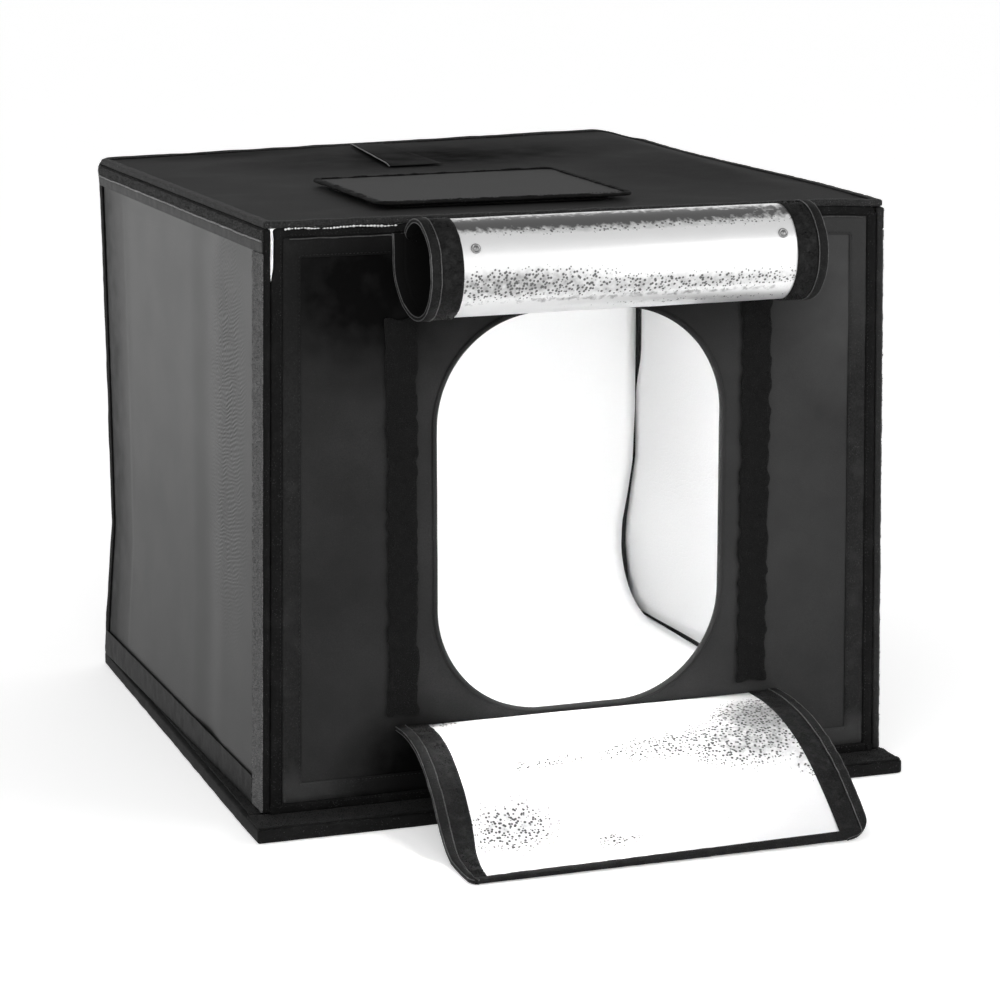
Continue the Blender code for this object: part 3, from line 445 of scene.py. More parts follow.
def edging(facing, loop, width, low, high, seed, cloth=CLOTH, wobble=BINDING_WOBBLE, reach=None):
    """A cloth binding folded round a board's edge: a U section along the whole loop."""
    points, outward = loop
    bend = min(EDGE_ROUND, (high - low) / 2.2)
    crown = BINDING_CROWN
    section = [(width, high), (width * 0.75, high + crown), (width * 0.40, high + crown),
               (bend, high), (bend * 0.3, high - bend * 0.3), (0.0, high - bend),
               (0.0, low + bend), (bend * 0.3, low + bend * 0.3), (bend, low),
               (width * 0.6, low), (width, low), (width, low + cloth), (cloth, low + cloth),
               (cloth, high - cloth), (width, high - cloth)]
    run = path_run(points)
    fade = closing(run)
    inner_wave = line_noise(run, INNER_EDGE_WAVES, seed) * wobble * fade
    face_wave = line_noise(run, FACE_WAVES, seed + 7) * wobble * 0.8 * fade
    edge_wave = line_noise(run, OUTER_EDGE_WAVES, seed + 13) * wobble * fade
    rows = []
    for inset, height in section:
        on_face = height >= high - 1e-9
        is_inner = abs(inset - width) < 1e-9
        depth = inset + (inner_wave if is_inner else edge_wave * (inset < width * 0.3))
        if reach is not None:
            depth = depth - reach(place(points, height, facing)) * (1.0 - inset / width)
        flat = points - outward * depth[:, None]
        rows.append(place(flat, height + (face_wave if on_face and inset > 0 else 0.0), facing))
    return sweep(rows[::-1], closed=True)


def row_places(loop, inset, pitch):
    """Evenly spaced points and directions along a closed loop, an inset inside it."""
    points = loop[0] - loop[1] * inset
    closed = np.concatenate((points, points[:1]))
    wanted = np.arange(pitch / 2, path_run(closed)[-1], pitch)
    here = point_at(closed, wanted)
    direction = point_at(closed, wanted + pitch / 8) - here
    return here, direction / np.maximum(np.hypot(*direction.T), TINY)[:, None]


def bead_row(places, directions, normals, length, width, height, mark=0):
    """Small spindle-shaped stitches at points in the room."""
    sideways = np.cross(normals, directions)
    tips = [places - directions * length / 2, places + directions * length / 2,
            places - sideways * width / 2, places + sideways * width / 2,
            places - normals * height / 2, places + normals * height / 2]
    points = np.stack(tips, axis=1).reshape(-1, 3)
    pattern = np.array(((0, 2, 5), (2, 1, 5), (1, 3, 5), (3, 0, 5),
                        (2, 0, 4), (1, 2, 4), (3, 1, 4), (0, 3, 4)))
    faces = (pattern[None] + 6 * np.arange(len(places))[:, None, None]).reshape(-1, 3)
    return chunk(points, faces, mark)


def stitches(facing, loop, inset, height):
    """A row of stitches on a flat face, inside a loop."""
    here, direction = row_places(loop, inset, STITCH_PITCH)
    normals = np.tile(out_of(facing), (len(here), 1))
    return bead_row(place(here, height, facing), place(direction, 0.0, facing), normals,
                    STITCH_LENGTH, STITCH_WIDTH, STITCH_WIDTH, 1)


def tufts(places, normals, seed):
    """Small bent hairs of the loop tape at points in the room."""
    random = np.random.default_rng(seed)
    lean = random.normal(size=places.shape)
    lean -= normals * (lean * normals).sum(axis=1)[:, None]
    lean /= np.maximum(np.linalg.norm(lean, axis=1), TINY)[:, None]
    sideways = np.cross(normals, lean)
    size = random.uniform(*TUFT_SIZES, (len(places), 1))
    reach = random.uniform(*TUFT_LEANS, (len(places), 1))
    tip = places + normals * TUFT_HEIGHT * size + lean * TUFT_HEIGHT * reach
    base = [places + aside * TUFT_WIDTH / 2 - normals * TUFT_HEIGHT / 3
            for aside in (-lean, lean + sideways, lean - sideways)]
    points = np.stack(base + [tip], axis=1).reshape(-1, 3)
    pattern = np.array(((0, 2, 1), (0, 1, 3), (1, 2, 3), (2, 0, 3)))
    faces = (pattern[None] + 4 * np.arange(len(places))[:, None, None]).reshape(-1, 3)
    return chunk(points, faces[:, ::-1])


STRAIGHT = 0.999


def ragged(loop, seed, rise):
    """A loop whose line wanders in and out, as a frayed edge does, but not at its corners."""
    points, outward = loop
    run = path_run(points)
    wave = line_noise(run, FRAY_WAVES, seed) * rise * closing(run)
    turned = sum((outward * np.roll(outward, step, axis=0)).sum(axis=1) < STRAIGHT
                 for step in (-2, -1, 1, 2))
    straight = np.where(turned > 0, 0.0, 1.0)
    eased = straight * (np.roll(straight, 1) + np.roll(straight, -1)) / 2.0
    return points + outward * ((wave - rise) * eased)[:, None], outward


def fuzzy_tape(facing, loop, low, high, seed, fray=FRAY):
    """A strip of loop tape: a slightly uneven cloth covered with hairs."""
    loop = ragged(loop, seed, fray)
    relief = noise_relief(TAPE_WAVES, seed, TAPE_RISE)
    body = plate(facing, [loop], low, high - TAPE_RISE, TAPE_PITCH, FINE_RIM, relief)
    random = np.random.default_rng(seed)
    lowest, highest = loop[0].min(axis=0), loop[0].max(axis=0)
    flat = random.uniform(lowest, highest, (int(np.prod(highest - lowest) / TUFT_AREA), 2))
    flat = flat[is_inside(flat, loop[0])]
    places = place(flat, high - TAPE_RISE, facing)
    normals = np.tile(out_of(facing), (len(places), 1))
    return [body, tufts(places + normals * relief(places)[:, None], normals, seed)]


# Materials

WAVES_IN_UNIT = 3.183


class Paint:
    """Builds one material out of nodes, in the piece's own metres."""

    def __init__(self, name, roughness, specular=0.5, metallic=0.0):
        self.material = bpy.data.materials.new(name)
        self.material.use_nodes = True
        self.tree = self.material.node_tree
        self.shader = self.tree.nodes["Principled BSDF"]
        self.place = self.add("TexCoord").outputs["Object"]
        self.set("Roughness", roughness)
        self.set("Specular IOR Level", specular)
        self.set("Metallic", metallic)

    def feed(self, socket, value):
        if isinstance(value, bpy.types.NodeSocket):
            self.tree.links.new(value, socket)
        else:
            socket.default_value = value

    def add(self, kind, **inputs):
        node = self.tree.nodes.new("ShaderNode" + kind)
        for name, value in inputs.items():
            self.feed(node.inputs[name.replace("_", " ")], value)
        return node

    def set(self, name, value):
        self.feed(self.shader.inputs[name], value)

    def noise(self, pitch, detail=2.0):
        """Noise from 0 to 1 whose marks are about a pitch apart."""
        return self.add("TexNoise", Vector=self.place, Scale=1.0 / pitch, Detail=detail).outputs["Fac"]

    def cells(self, pitch, feature="F1"):
        node = self.add("TexVoronoi", Vector=self.place, Scale=1.0 / pitch)
        node.feature = feature
        return node.outputs["Distance"]

    def waves(self, pitch, axis, warp=0.0):
        """Bands from 0 to 1 across an axis."""
        node = self.add("TexWave", Vector=self.place, Scale=1.0 / pitch / WAVES_IN_UNIT, Distortion=warp)
        node.bands_direction = axis
        return node.outputs["Fac"]

    def reckon(self, operation, first, second=0.0, third=0.0):
        node = self.tree.nodes.new("ShaderNodeMath")
        node.operation = operation
        for socket, value in zip(node.inputs, (first, second, third)):
            self.feed(socket, value)
        return node.outputs["Value"]

    def times(self, first, second):
        return self.reckon("MULTIPLY", first, second)

    def spread(self, value, low, high, to_low=0.0, to_high=1.0):
        """A value between two limits, spread over two others."""
        node = self.add("MapRange", Value=value, From_Min=low, From_Max=high, To_Min=to_low,
                        To_Max=to_high)
        return node.outputs["Result"]

    def around(self, centre, reach):
        """1 at a place, fading to 0 at a reach along each axis."""
        away = self.place
        for operation, value in (("SUBTRACT", centre), ("DIVIDE", reach), ("LENGTH", None)):
            node = self.tree.nodes.new("ShaderNodeVectorMath")
            node.operation = operation
            self.feed(node.inputs[0], away)
            if value:
                self.feed(node.inputs[1], value)
            away = node.outputs["Value" if operation == "LENGTH" else "Vector"]
        return self.spread(away, 1.0, 0.25)

    def marks(self, places):
        """The strongest of several soft marks, each a centre, a reach and a strength."""
        total = None
        for centre, reach, strength in places:
            mark = self.times(self.around(centre, reach), strength)
            total = mark if total is None else self.reckon("MAXIMUM", total, mark)
        return total

    def blend(self, share, first, second):
        node = self.tree.nodes.new("ShaderNodeMix")
        node.data_type = "RGBA"
        for index, value in ((0, share), (6, first), (7, second)):
            self.feed(node.inputs[index], value)
        return node.outputs[2]

    def mottle(self, value, low, high, level, dark, light):
        """Two shades of a level, mixed by a value between two limits."""
        return self.blend(self.spread(value, low, high), grey(level * dark), grey(level * light))

    def bump(self, height, depth, strength=1.0, under=None):
        node = self.add("Bump", Height=height, Distance=depth, Strength=strength)
        if under is not None:
            self.feed(node.inputs["Normal"], under)
        return node.outputs["Normal"]

    def finish(self, colour, normal=None):
        self.set("Base Color", colour)
        if normal is not None:
            self.set("Normal", normal)
        return self.material


def grey(level, warmth=0.0):
    return (level * (1.0 + warmth), level, level * (1.0 - warmth), 1.0)


PIT_PITCH = 3.1 * MM
PIT_REACH = 0.47
PIT_SPAN = (0.10, 0.75)
FOIL_METALLIC = 0.60
FOIL_SPECULAR = 0.5
SHADE_BAND_LEVEL = 0.13

# Places of painted shade and painted light, and of the side wall's ripples: the middle, the reach along
# each axis and the strength of each
# Painted shade on the silver roll: bands where its foil turns grey and its pits turn dark
ROLL_PAINTED_SHADE = (((0.02, -0.3872, 0.4885), (0.34, 0.03, 0.0150), 0.95),
              ((-0.10, -0.3890, 0.4940), (0.16, 0.03, 0.0220), 1.20),
              ((0.02, -0.3755, 0.5375), (0.30, 0.02, 0.0060), 0.75),
              ((0.08, -0.3700, 0.4700), (0.20, 0.03, 0.0050), 0.60))
# Painted shade: grey bands along the roll, on its upper side and low down
ROLL_PAINTED_SHADE_BANDS = (((-0.02, -0.3650, 0.5440), (0.42, 0.03, 0.0095), 1.0),
              ((0.04, -0.3800, 0.4780), (0.30, 0.03, 0.0045), 0.42))
# Painted shade on the lower flap's foil, densest at its upper right: there it turns grey and its pits turn
# dark
LOWER_PAINTED_SHADE = (((0.155, -0.364, 0.078), (0.070, 0.056, 0.05), 1.60),
               ((0.130, -0.392, 0.066), (0.110, 0.058, 0.06), 1.15),
               ((0.172, -0.425, 0.055), (0.036, 0.050, 0.05), 0.80),
               ((0.060, -0.388, 0.066), (0.150, 0.032, 0.05), 0.90),
               ((-0.060, -0.388, 0.062), (0.120, 0.016, 0.05), 0.70),
               ((-0.114, -0.438, 0.022), (0.072, 0.058, 0.05), 0.90),
               ((-0.030, -0.470, 0.014), (0.045, 0.020, 0.05), 0.80),
               ((0.080, -0.470, 0.023), (0.090, 0.006, 0.05), 0.35),
               ((-0.138, -0.305, 0.081), (0.035, 0.012, 0.02), 0.90))
# Painted shade on the front and its hem: under the roll's left, low by the lower flap and down the left
# side
FRONT_PAINTED_SHADE = (((-0.205, -0.30, 0.485), (0.130, 0.05, 0.115), 1.05),
               ((0.010, -0.30, 0.450), (0.250, 0.05, 0.070), 0.45),
               ((-0.155, -0.30, 0.045), (0.095, 0.05, 0.070), 1.00),
               ((-0.235, -0.30, 0.250), (0.085, 0.05, 0.300), 0.20))
# Painted light on the front's right side
FRONT_PAINTED_LIGHT = (((0.262, -0.30, 0.460), (0.095, 0.05, 0.160), 0.50),
                ((0.190, -0.30, 0.270), (0.140, 0.05, 0.320), 0.20))
# Painted light on the front's hem: its two lower corners and its top right
HEM_PAINTED_LIGHT = (((-0.262, -0.30, 0.034), (0.060, 0.05, 0.024), 0.70),
              ((0.268, -0.30, 0.034), (0.045, 0.05, 0.024), 0.80),
              ((0.262, -0.30, 0.500), (0.095, 0.05, 0.120), 0.60))
# Painted shade on the top, mostly in its middle towards the back
TOP_PAINTED_SHADE = (((0.020, 0.150, 0.54), (0.260, 0.150, 0.05), 0.90),
             ((-0.160, 0.260, 0.54), (0.150, 0.050, 0.05), 0.60),
             ((0.210, -0.050, 0.54), (0.150, 0.220, 0.05), 0.35))
# Painted shade on the left wall: darker along its rear edge, and faintly low in the middle
SIDE_PAINTED_SHADE = (((-0.30, 0.285, 0.28), (0.05, 0.112, 0.95), 1.00),
              ((-0.30, 0.090, 0.12), (0.05, 0.220, 0.36), 0.16))
SIDE_RIPPLES = (((-0.30, -0.176, 0.390), (0.05, 0.070, 0.170), 1.0),
                ((-0.30, -0.176, 0.250), (0.05, 0.075, 0.130), 0.7))

RIPPLE_PITCH = 4.0 * MM
RIPPLE_RISE = 0.42 * MM
RIPPLE_MIDDLE = -0.176
RIPPLE_SLOPE = 0.16
RIPPLE_BEND = 1.3
RIPPLE_WANDER = 3.2
RIPPLE_WANDER_PITCH = 24 * MM
WEAVE_PITCH = 1.3 * MM
DUST_PITCH = 2.6 * MM
DUST_CLUMPS = 7 * MM

# The depth of each bump, and how strongly it shows
WEAVE_BUMP = (0.08 * MM, 0.35)
CLOTH_BUMP = (0.10 * MM, 0.5)
RIB_BUMP = (0.15 * MM, 0.5)
BINDING_BUMP = (0.25 * MM, 0.7)
HAIR_BUMP = (0.6 * MM, 0.8)
FOLD_BUMP = (1.2 * MM, 0.8)
FOLD_GRAIN_BUMP = (0.2 * MM, 0.5)
CRINKLE_BUMP = (0.25 * MM, 0.4)
PIT_BUMP = (0.10 * MM, 0.10)
METAL_BUMP = (0.03 * MM, 0.3)

# How far apart the marks in each material are
BOARD_GRAIN = 2 * MM
CLOTH_GRAIN = 0.9 * MM
CLOTH_PATCHES = 60 * MM
MARK_CLOUDS = 25 * MM
BINDING_GRAIN = 1.6 * MM
BINDING_WEAR = 18 * MM
RIB = 1.5 * MM
WIDE_RIB = 2.2 * MM
CORD_RIB = 2.5 * MM
HAIR = 1.1 * MM
HAIR_CLUMPS = 6 * MM
FOLDS = 7 * MM
FOLD_GRAIN = 1.4 * MM
CRINKLES = 5 * MM
LINING_GRAIN = 1.2 * MM
FOIL_GRAIN = 1.2 * MM
FOIL_CLOUDS = 6 * MM
SHADE_BAND_EDGE = 5 * MM
STREAKS = 3 * MM
CHIP_PITCH = 20.8 * MM


def ripple_wave(paint):
    """Waves from 0 to 1 up a side wall, each bent like a hanging thread."""
    parts = paint.add("SeparateXYZ", Vector=paint.place)
    aside = paint.reckon("SUBTRACT", parts.outputs["Y"], RIPPLE_MIDDLE)
    bend = paint.times(paint.times(aside, aside), RIPPLE_BEND)
    level = paint.reckon("MULTIPLY_ADD", aside, RIPPLE_SLOPE, parts.outputs["Z"])
    level = paint.reckon("SUBTRACT", level, bend)
    uneven = paint.times(paint.noise(RIPPLE_WANDER_PITCH), RIPPLE_WANDER * RIPPLE_PITCH)
    turns = paint.times(paint.reckon("ADD", level, uneven), math.tau / RIPPLE_PITCH)
    return paint.spread(paint.reckon("SINE", turns), -1.0, 1.0)


def cloth_material(name, level, roughness, specular, axes, dust=0.35, painted_shades=(), lights=(), ripples=(),
                   wear=1.0):
    """Coated black cloth with a fine weave, patches of wear, specks of dust, and painted shade and painted
    light where given.
    """
    paint = Paint(name, roughness, specular)
    threads = [paint.waves(WEAVE_PITCH, axis, 1.5) for axis in axes]
    weave = paint.reckon("MAXIMUM", *threads)
    grain = paint.noise(CLOTH_GRAIN, 3.0)
    patches = paint.noise(CLOTH_PATCHES, 4.0)
    shade = paint.mottle(patches, 0.35, 0.65, level, 1.0 - 0.18 * wear, 1.0 + 0.18 * wear)
    shade = paint.blend(paint.spread(grain, 0.35, 0.70, 0.0, 0.55), shade, grey(level * 0.55))
    speck = paint.spread(paint.cells(DUST_PITCH), 0.10, 0.05)
    rare = paint.spread(paint.noise(DUST_CLUMPS), 0.54, 0.64)
    shade = paint.blend(paint.times(paint.times(speck, rare), dust), shade, grey(level * 6.0))
    uneven = paint.spread(paint.noise(MARK_CLOUDS, 3.0), 0.3, 0.7, 0.8, 1.15)
    # Painted light and painted shade in soft places; the painted shade also weakens the sheen
    if lights:
        shade = paint.blend(paint.times(paint.marks(lights), uneven), shade, grey(level * 3.0))
    if painted_shades:
        share = paint.times(paint.marks(painted_shades), uneven)
        shade = paint.blend(share, shade, grey(level * 0.1))
        paint.set("Specular IOR Level", paint.spread(share, 0.0, 1.0, specular, specular * 0.25))
    normal = paint.bump(weave, *WEAVE_BUMP)
    normal = paint.bump(grain, *CLOTH_BUMP, normal)
    if ripples:
        ripple = paint.times(ripple_wave(paint), paint.marks(ripples))
        normal = paint.bump(ripple, RIPPLE_RISE, 1.0, normal)
    change = 0.06 * wear
    paint.set("Roughness", paint.spread(patches, 0.3, 0.7, roughness - change, roughness + change))
    return paint.finish(shade, normal)


LINT_LEVEL = 0.30
LINT_PITCH = 2.0 * MM
LINT_CLUMPS = 8 * MM


def lint(paint, shade, amount):
    """Specks of pale lint, thicker in some places."""
    speck = paint.spread(paint.cells(LINT_PITCH), 0.26, 0.12)
    clump = paint.spread(paint.noise(LINT_CLUMPS), 0.42, 0.62)
    return paint.blend(paint.times(paint.times(speck, clump), amount), shade, grey(LINT_LEVEL))


def binding_material(name, level, roughness, specular=0.3, rib=RIB, dust=0.2, painted_shades=(), lights=()):
    """Ribbed binding tape, with painted shade and painted light where given."""
    paint = Paint(name, roughness, specular)
    across, along, up = (paint.waves(rib, axis, 1.0) for axis in "XYZ")
    ribs = paint.times(paint.times(across, along), up)
    grain = paint.noise(BINDING_GRAIN, 3.0)
    wear = paint.noise(BINDING_WEAR, 3.0)
    shade = paint.mottle(grain, 0.3, 0.75, level, 0.6, 1.4)
    shade = paint.blend(paint.spread(wear, 0.52, 0.72, 0.0, 0.5), shade, grey(level * 2.2))
    shade = lint(paint, shade, dust)
    # Painted light and painted shade in soft places
    if lights:
        shade = paint.blend(paint.marks(lights), shade, grey(level * 3.5))
    if painted_shades:
        shade = paint.blend(paint.marks(painted_shades), shade, grey(level * 0.2))
    normal = paint.bump(ribs, *RIB_BUMP)
    return paint.finish(shade, paint.bump(grain, *BINDING_BUMP, normal))


def tape_material(name, level, dust=0.08):
    """Loop tape: dull, hairy and uneven."""
    paint = Paint(name, 0.9, 0.12)
    hair = paint.noise(HAIR, 4.0)
    clumps = paint.noise(HAIR_CLUMPS, 3.0)
    shade = paint.mottle(hair, 0.35, 0.75, level, 0.35, 1.9)
    shade = paint.blend(paint.spread(clumps, 0.4, 0.7, 0.0, 0.6), shade, grey(level * 0.6))
    paint.set("Sheen Weight", 0.05)
    return paint.finish(lint(paint, shade, dust), paint.bump(hair, *HAIR_BUMP))


def crumpled_material(name, level):
    """The flaps' side tapes: dull cloth with soft folds and patches of wear."""
    paint = Paint(name, 0.65, 0.12)
    patches = paint.noise(FOLDS, 4.0)
    grain = paint.noise(FOLD_GRAIN, 3.0)
    shade = paint.mottle(grain, 0.35, 0.75, level, 0.5, 1.6)
    shade = paint.blend(paint.spread(patches, 0.50, 0.72, 0.0, 0.6), shade, grey(level * 2.8))
    normal = paint.bump(patches, *FOLD_BUMP)
    return paint.finish(shade, paint.bump(grain, *FOLD_GRAIN_BUMP, normal))


def lining_material(name, level):
    """Bright pearl lining with a fine crinkle."""
    paint = Paint(name, 0.42, 0.4, 0.05)
    crinkle = paint.spread(paint.cells(CRINKLES, "DISTANCE_TO_EDGE"), 0.0, 0.12)
    shade = paint.mottle(paint.noise(LINING_GRAIN), 0.3, 0.7, level, 0.96, 1.0)
    return paint.finish(shade, paint.bump(crinkle, *CRINKLE_BUMP))


def foil_material(name, level, pit_level, roughness, places, shade_bands=()):
    """Silver foil on cloth, pressed with small pits, with painted shade in given places: there the foil
    turns grey, and its pits are dark and dull.
    """
    paint = Paint(name, roughness, FOIL_SPECULAR, FOIL_METALLIC)
    cells = paint.cells(PIT_PITCH)
    grain = paint.noise(FOIL_GRAIN)
    uneven = paint.spread(paint.noise(FOIL_CLOUDS, 4.0), 0.3, 0.7, 0.70, 1.15)
    # Painted shade and painted reflection of darker surroundings: where the foil turns grey and its pits
    # grow dark and dull
    painted_shade = paint.times(paint.marks(places), uneven)
    shade = paint.blend(paint.spread(grain, 0.3, 0.8, 0.0, 0.10), grey(level), grey(level * 0.85))
    shade = paint.blend(paint.spread(painted_shade, 0.45, 1.3, 0.0, 0.75), shade, grey(level * 0.20))
    reach = paint.spread(painted_shade, *PIT_SPAN, 0.0, PIT_REACH)
    dark = paint.spread(paint.reckon("SUBTRACT", cells, reach), 0.0, -0.14)
    shade = paint.blend(dark, shade, grey(pit_level))
    paint.set("Metallic", paint.spread(dark, 0.0, 1.0, FOIL_METALLIC, 0.0))
    paint.set("Specular IOR Level", paint.spread(dark, 0.0, 1.0, FOIL_SPECULAR, 0.0))
    # Painted shade: the foil painted grey in given bands, with a ragged edge
    if shade_bands:
        edge = paint.spread(paint.noise(SHADE_BAND_EDGE, 4.0), 0.3, 0.7, -0.25, 0.25)
        shade_band = paint.spread(paint.reckon("ADD", paint.marks(shade_bands), edge), 0.30, 0.75)
        shade = paint.blend(shade_band, shade, grey(SHADE_BAND_LEVEL))
    paint.set("Roughness", paint.spread(grain, 0.3, 0.7, roughness, roughness + 0.08))
    return paint.finish(shade, paint.bump(paint.spread(cells, 0.20, 0.45), *PIT_BUMP))


def plain_material(name, roughness, level, dark, light, pitch, depth=0.0, strength=0.3, specular=0.5):
    """A plain matt material with a fine grain in its shade and its face."""
    paint = Paint(name, roughness, specular)
    grain = paint.noise(pitch)
    shade = paint.mottle(grain, 0.3, 0.7, level, dark, light)
    return paint.finish(shade, paint.bump(grain, depth, strength) if depth else None)


def metal_material(name, level, roughness):
    """Drawn or plated metal."""
    paint = Paint(name, roughness, 0.5, 1.0)
    streaks = paint.noise(STREAKS, 3.0)
    paint.set("Roughness", paint.spread(streaks, 0.3, 0.7, roughness * 0.8, roughness * 1.2))
    shade = paint.mottle(streaks, 0.3, 0.7, level, 0.9, 1.0)
    return paint.finish(shade, paint.bump(streaks, *METAL_BUMP))


def glow_material(name, level, strength):
    """The lamp's frosted cover, lit from behind by its row of chips."""
    paint = Paint(name, 0.35)
    paint.set("Emission Color", grey(1.0))
    paint.set("Emission Strength", strength)
    return paint.finish(paint.blend(paint.waves(CHIP_PITCH, "X"), grey(level * 0.97), grey(level)))


def board_material(name):
    """The lamp's white circuit board."""
    paint = Paint(name, 0.4)
    grain = paint.spread(paint.noise(BOARD_GRAIN), 0.3, 0.7)
    return paint.finish(paint.blend(grain, grey(0.78, 0.02), grey(0.88, 0.01)))


# The front, left wall and top cloths and the front's hem carry the painted shade and painted light of the
# tables above
COVER_FRONT = cloth_material("cover_cloth_front", 0.028, 0.52, 0.10, "XZ", 0.35, FRONT_PAINTED_SHADE, FRONT_PAINTED_LIGHT)
COVER_SIDE = cloth_material("cover_cloth_side", 0.023, 0.46, 0.160, "YZ", 0.2, SIDE_PAINTED_SHADE,
                            ripples=SIDE_RIPPLES, wear=0.25)
COVER_TOP = cloth_material("cover_cloth_top", 0.032, 0.60, 0.01, "XY", 0.3, TOP_PAINTED_SHADE)
COVER_FLAP = cloth_material("cover_cloth_flap", 0.060, 0.60, 0.02, "XY", 0.3)
FLAP_BACK = cloth_material("flap_back_cloth", 0.006, 0.70, 0.05, "XY", 0.1)
BINDING = binding_material("binding_cloth", 0.012, 0.7, 0.2, dust=0.20)
EDGE = binding_material("front_edge_cloth", 0.006, 0.8, 0.1, dust=0.15)
FLAP_EDGE = binding_material("flap_edge_cloth", 0.011, 0.7, 0.10, dust=0.10)
LEDGE = binding_material("base_edge_cloth", 0.005, 0.75, 0.12, dust=0.20)
HEM = binding_material("hem_cloth", 0.014, 0.65, 0.12, WIDE_RIB, 0.12, FRONT_PAINTED_SHADE, HEM_PAINTED_LIGHT)
BAND = binding_material("side_band_cloth", 0.020, 0.60, 0.13, WIDE_RIB, 0.05)
THREAD = binding_material("black_thread", 0.012, 0.6)
PIPING = binding_material("flap_piping", 0.085, 0.6, 0.2, CORD_RIB, 0.1)
# Cord cloth for seam edges: the cords are real, their pale grey is painted highlight
SEAM_PIPING_HIGHLIGHT = binding_material("seam_piping_painted_highlight", 0.16, 0.6, 0.2, CORD_RIB, 0.2)
HEM_PIPING = binding_material("hem_piping", 0.050, 0.6, 0.2, CORD_RIB, 0.1)
TAPE = tape_material("loop_tape", 0.0075, 0.06)
FLAP_TAPE_CLOTH = crumpled_material("flap_tape_cloth", 0.010)
SIDE_TAPE = tape_material("side_loop_tape", 0.028, 0.45)
# The walls' front tapes: black loop tape painted pale grey, as painted light where the left wall is lit
CORNER_TAPE_PAINTED_LIGHT = tape_material("corner_loop_tape_painted_light", 0.125, 0.45)
LINING = lining_material("bright_lining", 0.93)
# Both foils carry painted shade, and the roll also has bands of painted shade
FOILS = {"upper_flap": foil_material("silver_foil_roll", 0.93, 0.14, 0.30, ROLL_PAINTED_SHADE, ROLL_PAINTED_SHADE_BANDS),
         "lower_flap": foil_material("silver_foil_lower", 0.93, 0.09, 0.55, LOWER_PAINTED_SHADE)}
SHEET = plain_material("white_sheet", 0.6, 0.93, 0.98, 1.0, 1.0 * MM, 0.05 * MM, specular=0.3)
ALUMINIUM = metal_material("aluminium", 0.72, 0.35)
SNAP = metal_material("snap_metal", 0.30, 0.30)
PLASTIC = plain_material("black_plastic", 0.45, 0.020, 0.85, 1.15, 0.5 * MM, 0.04 * MM, 0.4)
GLOW = glow_material("diffuser", 0.93, 135.0)
BOARD = board_material("lamp_board")


# The covered boards and their bindings

def flat_loop(node, facing, radii, pitch, inset=0.0):
    """The outline of a CAD node, with its lowest and highest levels."""
    across, up, out = spans(node, facing)
    radii = [max(radius - inset, MM) for radius in radii]
    return rounded_loop(grown((*across, *up), -inset), radii, pitch), out


def add_tape(node, facing, body, cloth=TAPE, corner=TAPE_CORNER, fray=FRAY, seed=None, pitch=TAPE_PITCH,
             shift=settle):
    """A strip of loop tape where its CAD node stands."""
    loop, (low, high) = flat_loop(node, facing, [corner] * 4, pitch)
    parts = fuzzy_tape(facing, loop, low, high, seed or seed_of(node), fray)
    return add_piece(node, parts, [cloth], body, shift)


def bound_board(name, facing, radii, cover, cloth=BINDING, relief=None, holes=(), seed=None, reach=None,
                sunk=BOARD_SUNK, panel="_panel", pitches=(PLATE_PITCH, PLATE_PITCH), shift=settle):
    """A cloth-covered board, held in a sewn binding all round."""
    binding = name + "_binding"
    loop, (low, high) = flat_loop(binding, facing, radii, EDGING_PITCH)
    edge = edging(facing, loop, BINDING_WIDTH, low, high, seed or seed_of(name), reach=reach)
    stitch = stitches(facing, loop, BINDING_WIDTH - STITCH_INSET, high + STITCH_LIFT)
    add_piece(binding, [edge, stitch], [cloth, THREAD], name, shift)
    outline = flat_loop(binding, facing, radii, pitches[0], BOARD_LAP)[0]
    board = plate(facing, [outline, *holes], low + CLOTH + BOARD_SUNK, high - CLOTH - sunk, pitches[1],
                  relief=relief)
    add_piece(name + panel, [board], [cover], name, shift)
    return low, high


KINK_DEPTH = -1.6 * MM
KINK_PLACE = -0.105
KINK_REACH = 0.055
FIELD_RISE = 0.7 * MM
FIELD_SPANS = ((-0.273, -0.267), (0.198, 0.206))
FIELD_LEVELS = ((0.040, 0.046), (0.503, 0.508))
LEFT_WAVES = 160 * MM
LEFT_WAVE_RISE = 0.3 * MM


def left_relief(points):
    """The left wall: a soft upright kink, and a field that stands up between its tapes."""
    x, y, z = points.T
    kink = KINK_DEPTH * smooth_step(np.abs(y - KINK_PLACE), KINK_REACH, 0.0)
    field = rise_and_fall(y, *FIELD_SPANS) * rise_and_fall(z, *FIELD_LEVELS)
    return kink + FIELD_RISE * field + rough_noise(points, LEFT_WAVES, 5, 1) * LEFT_WAVE_RISE


HARD = 3.0 * MM
SOFT = 12.0 * MM
SQUARE = [HARD] * 4
PIPING_RADIUS = 0.9 * MM
PIPING_STEPS = 130
PIPING_WAVES = 15 * MM
PIPING_WANDER = 0.3 * MM
BAND_SUNK = 0.5 * MM
BAND_PUCKER = 0.3 * MM
HEM_PUCKER = 0.5 * MM
PIPING_SUNK = 0.3 * MM
PIPING_INSET = 2 * MM
CORD_TURNS = np.linspace(0.0, math.tau, 6, endpoint=False)


